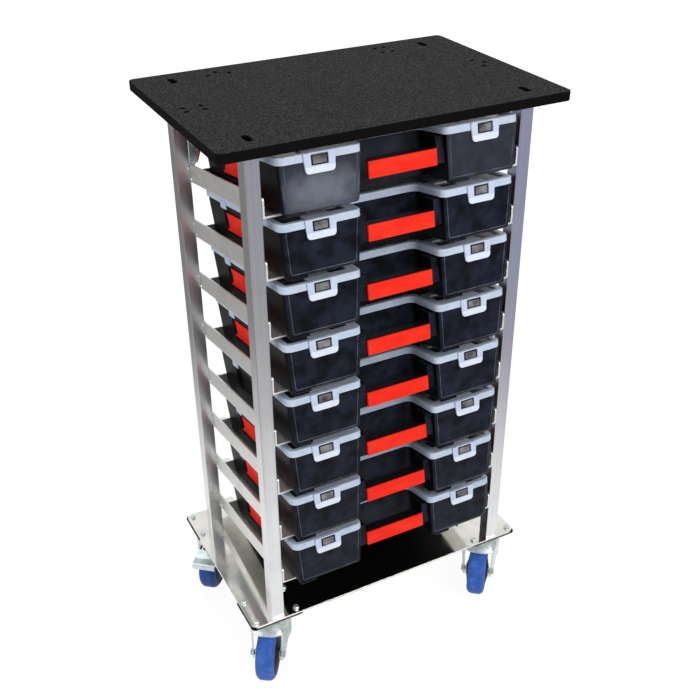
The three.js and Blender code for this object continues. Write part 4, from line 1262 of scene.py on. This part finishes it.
# %% [markdown]
# The wheel has a blue tyre with round shoulders on a black hub. The hub is a dish that rises in low steps
# from the tyre's side to the bearing. Both profiles close on themselves and are carried round the axle.

# %% Wheel
def wheel_parts():
    """Profiles of (radius, distance from the middle). The tread is lower by 0.5 mm * (distance / 18 mm)^2,
    and the far half of the hub mirrors the near half."""
    shoulder_radius = 11 * mm
    shoulder = arc((wheel_radius - shoulder_radius, 6.8 * mm), shoulder_radius, 0, 90, 11)
    tread = np.concatenate([shoulder[::-1] * np.array([1, -1]), shoulder])
    tread[:, 0] -= 0.5 * mm * (tread[:, 1] / (18 * mm)) ** 2
    tyre = np.concatenate([
        np.array([(38, -16)]) * mm, tread, np.array([(38, 16), (37.6, 12), (37.6, -12)]) * mm,
    ])
    hub = np.array([
        (8, -22), (14, -22), (16.5, -20.6), (24, -19.6),
        (25.5, -18.2), (33, -17.8), (34.5, -16.8), (38.4, -16.6),
    ]) * mm
    hub = np.concatenate([hub, hub[::-1] * np.array([1, -1])])
    bearing = np.array([(6.5, -23.6), (10, -23.9), (10, 23.9), (6.5, 23.6)]) * mm
    parts = [(turned_part(tyre, 96, wrap=True), "tyre"), (turned_part(hub, 72, wrap=True), "hub"),
             (turned_part(bearing, 32, wrap=True), "zinc")]
    return [(moved(turned(part, "X", 90), (trail, 0, wheel_radius)), finish) for part, finish in parts]


# %% [markdown]
# The fork is one pressing. Seen from above its outline is a disc of radius R round the kingpin, drawn out
# to a nose of radius N over the wheel, with straight flanks that touch both. In polar form, with t the
# angle from the wheel's direction and T = acos(R / N) + 34 degrees, the radius is N up to 34 degrees,
# R / cos(T - t) up to T, and R beyond. The crown lofts that outline up to a flat disc, and each leg follows
# the flank down to the axle.

# %% Outline of the fork
disc_radius, nose_radius, nose_angle = 38.5 * mm, 52.5 * mm, math.radians(34)
tangent_angle = nose_angle + math.acos(disc_radius / nose_radius)
sheet_thick = 3 * mm
crown_foot = crown_top - 15.5 * mm
print("flanks from", round(math.degrees(nose_angle)), "to", round(math.degrees(tangent_angle)), "degrees")


def fork_outline(angle):
    """The radius of the outline at each angle from the wheel's direction: the polar form above."""
    away = np.abs(np.angle(np.exp(1j * angle)))
    flank = disc_radius / np.cos(tangent_angle - np.clip(away, nose_angle, tangent_angle))
    return np.where(away < nose_angle, nose_radius, flank)


def flank_face(x):
    """How far the outer face of a leg lies from the middle: sqrt(R^2 - x^2) on the disc near the kingpin,
    then (R - x cos T) / sin T on the flank."""
    x = np.asarray(x, float)
    touch = disc_radius * math.cos(tangent_angle)
    line = (disc_radius - x * math.cos(tangent_angle)) / math.sin(tangent_angle)
    return np.where(x < touch, np.sqrt(np.maximum(disc_radius ** 2 - np.minimum(x, touch) ** 2, 0)), line)


# %% [markdown]
# The crown is a dished shell with a hole for the kingpin. It is lofted in rings, which run up the outside,
# inwards over the flat top to the hole, and back down inside.

# %% Crown
def crown_shell():
    """With s from 0 to 1 up the shoulder, a ring lies between the outline and the flat disc of radius F, at
    F + (outline - F)(1 - s), and its height is the share 1 - (1 - s)^1.35 of the rise over the skirt."""
    angle = np.linspace(-np.pi, np.pi, 128, endpoint=False)
    outline = fork_outline(angle)
    flat, skirt, hole = 33 * mm, 3.4 * mm, 6.6 * mm
    rise = crown_top - crown_foot - skirt

    def ring(radius, z):
        return np.stack([radius * np.cos(angle), radius * np.sin(angle), np.full(len(angle), z)], axis=1)

    def skin(inset):
        levels = []
        for s in np.linspace(0, 1, 9):
            radius = flat - inset + (outline - flat) * (1 - s)
            levels.append(ring(radius, crown_foot + skirt - inset + rise * (1 - (1 - s) ** 1.35)))
        return levels

    outer, inner = skin(0), skin(sheet_thick)
    rings = [ring(outline - 0.9 * mm, crown_foot), ring(outline - 0.2 * mm, crown_foot + 0.3 * mm),
             ring(outline, crown_foot + 0.9 * mm)]
    rings += outer + [ring(hole, crown_top - 0.05 * mm), ring(hole, crown_top - sheet_thick)] + inner[::-1]
    rings += [ring(outline - sheet_thick, crown_foot + 0.9 * mm),
              ring(outline - sheet_thick + 0.6 * mm, crown_foot)]
    return lofted(np.stack(rings), wrap=True)


# %% [markdown]
# A leg is a sheet that hangs from the crown and narrows to a round eye at the axle. It is lofted over
# upright strips. `eased` gives its edges their smooth bends.

# %% Legs
def eased(value, low, high):
    """A smooth step from 0 at low to 1 at high: s^2 (3 - 2 s) with s the share of the way."""
    share = np.clip((value - low) / (high - low), 0, 1)
    return share * share * (3 - 2 * share)


def leg(side):
    """Upright strips from rear to front. Each has a lower and an upper end, and the last ones close the
    axle's eye, where they end at the axle's height plus and minus the chord sqrt(eye^2 - (x - trail)^2)."""
    eye = 12 * mm
    round_eye = trail - eye * np.cos(np.linspace(0.05, np.pi, 22))
    x = np.concatenate([np.linspace(-29.5 * mm, trail - eye, 26), round_eye])
    chord = np.sqrt(np.maximum(eye ** 2 - np.minimum(np.abs(x - trail), eye) ** 2, 0))
    rear_edge = 70 * mm + np.clip(-8 * mm - x, 0, None) * 1.5
    foot = rear_edge + (wheel_radius - chord - 70 * mm) * eased(x, 16 * mm, 31 * mm)
    head = crown_foot + 1 * mm + (wheel_radius + chord - crown_foot - 1 * mm) * eased(x, 39.5 * mm, 45 * mm)
    head = np.maximum(head, foot + 0.3 * mm)
    outer = flank_face(x) - 0.06 * mm
    inner = outer - sheet_thick
    edge = np.minimum(0.7 * mm, (head - foot) / 3)
    corners = [(outer - edge, foot), (outer, foot + edge), (outer, head - edge), (outer - edge, head),
               (inner + edge, head), (inner, head - edge), (inner, foot + edge), (inner + edge, foot)]
    return lofted(np.stack([np.stack([x, side * y, z], axis=1) for y, z in corners], axis=1))


# %% [markdown]
# The axle is a bar across the fork with a flat nut on each end. The rear forks also carry a thinner bar, on
# which the brake pedal turns.

# %% Axle, pedal pivot and their nuts
def cross_bar(radius, reach, x, z):
    """A turned bar across the fork, from -reach to reach, with its ends eased."""
    ease = 0.3 * mm
    bar = turned_part([(radius - ease, -reach), (radius, -reach + ease),
                       (radius, reach - ease), (radius - ease, reach)], steps=24)
    return moved(turned(bar, "X", 90), (x, 0, z))


def end_nuts(outline, thickness, start, x, z):
    """A plate outside each leg, turned by 90 degrees about X: its thickness runs away from the wheel."""
    nut = plate(outline, thickness, min(0.6 * mm, thickness / 4))
    return [moved(turned(nut, "X", side * 90), (x, -side * start, z)) for side in (-1, 1)]


pivot_x, pivot_z = 8 * mm, crown_foot - 6.5 * mm


def fork_parts(has_pedal):
    """Crown, legs and axle. Each bar reaches a little past the outer faces of the legs, to its nuts."""
    axle_face = float(flank_face(trail))
    parts = [crown_shell(), leg(-1), leg(1), cross_bar(5 * mm, axle_face + 3.4 * mm, trail, wheel_radius)]
    parts += end_nuts(polygon(6, 6.9 * mm), 3.4 * mm, axle_face - 0.6 * mm, trail, wheel_radius)
    if has_pedal:
        reach = float(flank_face(pivot_x))
        parts.append(cross_bar(2.5 * mm, reach + 1 * mm, pivot_x, pivot_z))
        parts += end_nuts(polygon(24, 4.4 * mm), 1.9 * mm, reach - 0.6 * mm, pivot_x, pivot_z)
    return [(part, "zinc") for part in parts]


# %% [markdown]
# The brake pedal is a stirrup inside the fork: two arms beside the wheel, and between their ends a sheet
# that slopes down from over the wheel, runs level as a tread, and turns down into a lip.

# %% Brake pedal
def drawn_sheet(line, thickness):
    """The other face of a bent sheet: each point of the line moves along its normal by the thickness."""
    along = np.gradient(line, axis=0)
    normal = np.stack([along[:, 1], -along[:, 0]], axis=1) / np.linalg.norm(along, axis=1, keepdims=True)
    return line + normal * thickness


def side_plate(outline, thickness, edge, inner, side):
    """A plate drawn in x and z that stands parallel to the wheel, its inner face at inner from the middle."""
    points, faces = plate(outline, thickness, edge)
    return np.stack([points[:, 0], side * (inner + points[:, 2]), points[:, 1]], axis=1), faces


def pedal_parts():
    """Two upright arms, and a sheet whose section is the line of slope, curl and lip with the same line
    moved along its normal by the thickness."""
    inner, thick, reach, dip = 20.3 * mm, 2.3 * mm, 98 * mm, 6 * mm
    top = pivot_z - dip + 4.4 * mm
    arm = np.concatenate([
        arc((pivot_x, pivot_z), 5.9 * mm, 90, 270, 10),
        [(reach - 6 * mm, top - 8.6 * mm), (reach - 6 * mm, top)],
    ])
    arms = [side_plate(arm, thick, 0.5 * mm, inner, side) for side in (-1, 1)]
    turn = np.radians(np.linspace(90, 0, 8))
    curl = np.stack([reach - 4.2 * mm + 4 * mm * np.cos(turn), top - 4 * mm + 4 * mm * np.sin(turn)], axis=1)
    slope = [(reach - 36 * mm, top + 9 * mm), (reach - 21 * mm, top + 1.1 * mm), (reach - 17 * mm, top)]
    lip = [(reach - 0.2 * mm, top - 10.8 * mm), (reach - 0.8 * mm, top - 12.6 * mm)]
    upper = np.concatenate([slope, curl, lip])
    loop = np.concatenate([upper[::-1], drawn_sheet(upper, thick)])
    rings = [np.stack([loop[:, 0], np.full(len(loop), y), loop[:, 1]], axis=1)
             for y in np.linspace(-inner - thick, inner + thick, 9)]
    return [(part, "zinc") for part in arms + [lofted(rings)]]


# %% [markdown]
# Each caster stands turned by its own angle, as casters do when a cart has been rolled to its place. Fork,
# wheel and pedal are turned about the kingpin, and each rides on its own body.

# %% Put the casters together
def swivelled(parts, kingpin, degrees):
    """Every part turned about the upright axis by the caster's angle, and then moved to its kingpin."""
    return [(moved(turned(part, "Z", degrees), (*kingpin, 0)), finish) for part, finish in parts]


for corner, degrees in swivel_degrees.items():
    mount, fork, wheel = (f"{corner}_caster_{part}" for part in ("mount", "fork", "wheel"))
    mount_low, mount_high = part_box(mount)
    kingpin = ((mount_low.x + mount_high.x) / 2, (mount_low.y + mount_high.y) / 2)
    has_pedal = corner.startswith("rear")
    make_piece(f"{corner}_caster_top", caster_top(*kingpin), "frame", [mount])
    make_piece(f"{fork}_pressing", swivelled(fork_parts(has_pedal), kingpin, degrees), fork, [fork])
    make_piece(f"{wheel}_and_tyre", swivelled(wheel_parts(), kingpin, degrees), wheel, [wheel])
    if has_pedal:
        pedal = f"{corner}_brake_pedal"
        make_piece(f"{pedal}_pressing", swivelled(pedal_parts(), kingpin, degrees), pedal, [pedal])
    print(corner, "caster at", [round(c, 4) for c in kingpin], "turned by", degrees)

# %% [markdown]
# ## The studio
#
# A plain white floor and a white world make the background. The camera sees them at full white with the
# cart's soft shadow. Metal and glossy plastic mirror the same floor, with a painted reflection on it: grey
# under the cart as painted shade, white beside it, and greyer further off, because the real posts are white
# at the foot and grey at the top. To the right the far floor is bluer. All other rays see a softer world, so
# that the black plastic keeps its depth.

# %% Floor and world
world = bpy.data.worlds.new("studio")
bpy.context.scene.world = world
world.use_nodes = True
sky = Network(world.node_tree)
backwards = sky.axis(sky.node("ShaderNodeTexCoord", output="Generated"), 1)
mirrored_room = 0.3 + backwards.within(-0.7, 0.35) * 0.6
soft_light = 0.38
full_white = sky.seen_by("Camera", "Transmission")
glossy = sky.seen_by("Glossy")
background = world.node_tree.nodes["Background"]
background.inputs["Color"].default_value = (1, 1, 1, 1)
strength = soft_light + full_white * (1 - soft_light) + glossy * (mirrored_room - soft_light)
sky.fill(background.inputs["Strength"], strength)


def studio_floor():
    """A square of 12 m whose shader is a mix of plain white and a glow for the rays that see or mirror it."""
    finish = Finish("studio_floor", Roughness=0.9, Base_Color=(0.86, 0.86, 0.86, 1))
    here = finish.node("ShaderNodeTexCoord", output="Object")
    distance = finish.node("ShaderNodeVectorMath", {"operation": "LENGTH"}, {0: here}, "Value")
    across = finish.axis(here, 0)
    far_floor = finish.blend(across.within(-1.2, 0.2), (0.13, 0.115, 0.12, 1), (0.23, 0.225, 0.22, 1))
    far_floor = finish.blend(across.within(0.2, 1.6), far_floor, (0.19, 0.2, 0.36, 1))
    painted_reflection_floor = finish.blend(distance.within(0.35, 1.4), (1, 1, 1, 1), far_floor)
    # Painted shade: the floor that metal mirrors is grey under the cart.
    painted_reflection_floor = finish.blend(distance.within(0.16, 0.4), (0.55, 0.56, 0.58, 1), painted_reflection_floor)
    glossy = finish.seen_by("Glossy")
    colour = finish.blend(glossy, (1, 1, 1, 1), painted_reflection_floor)
    glow = finish.node("ShaderNodeEmission", {}, {"Color": colour, "Strength": 1.1})
    seen = finish.seen_by("Camera", "Transmission") * (distance.within(0.8, 2.4) * 0.17 + 0.83)
    share = seen + glossy * 0.85
    plain = Wire(finish, finish.shader.outputs[0])
    mixed = finish.node("ShaderNodeMixShader", {}, {0: share, 1: plain, 2: glow})
    surface = finish.tree.nodes["Material Output"].inputs["Surface"]
    finish.tree.links.new(mixed.socket, surface)
    points = [(-6, -6, 0), (6, -6, 0), (6, 6, 0), (-6, 6, 0)]
    mesh = bpy.data.meshes.new("studio_floor")
    mesh.from_pydata(points, [], [(0, 1, 2, 3)])
    mesh.materials.append(finish.material)
    floor = bpy.data.objects.new("studio_floor", mesh)
    bpy.context.scene.collection.objects.link(floor)
    return floor


print("floor", list(studio_floor().dimensions))

# %% [markdown]
# Three large soft lamps light the cart: the key from the front right, a weak fill from the left, and one
# overhead.

# %% Lamps
def soft_lamp(name, place, aim, size, power):
    """A rectangular lamp of some watts that looks from its place to the aim."""
    data = bpy.data.lights.new(name, "AREA")
    data.shape = "RECTANGLE"
    data.size, data.size_y = size
    data.energy = power
    lamp = bpy.data.objects.new(name, data)
    lamp.location = place
    lamp.rotation_euler = (Vector(aim) - Vector(place)).to_track_quat("-Z", "Y").to_euler()
    bpy.context.scene.collection.objects.link(lamp)
    return lamp


cart_middle = (centre_x, centre_y, 0.6)
soft_lamp("key_lamp", (0.7, -2.5, 2.2), cart_middle, (1.8, 1.4), 48)
soft_lamp("fill_lamp", (-2.6, -0.5, 1.6), cart_middle, (1.4, 1.4), 20)
soft_lamp("top_lamp", (-0.2, 0.2, 2.9), cart_middle, (1.8, 1.8), 16)
print(len(bpy.data.lights), "lamps")
bpy.context.scene.view_settings.view_transform = "Standard"
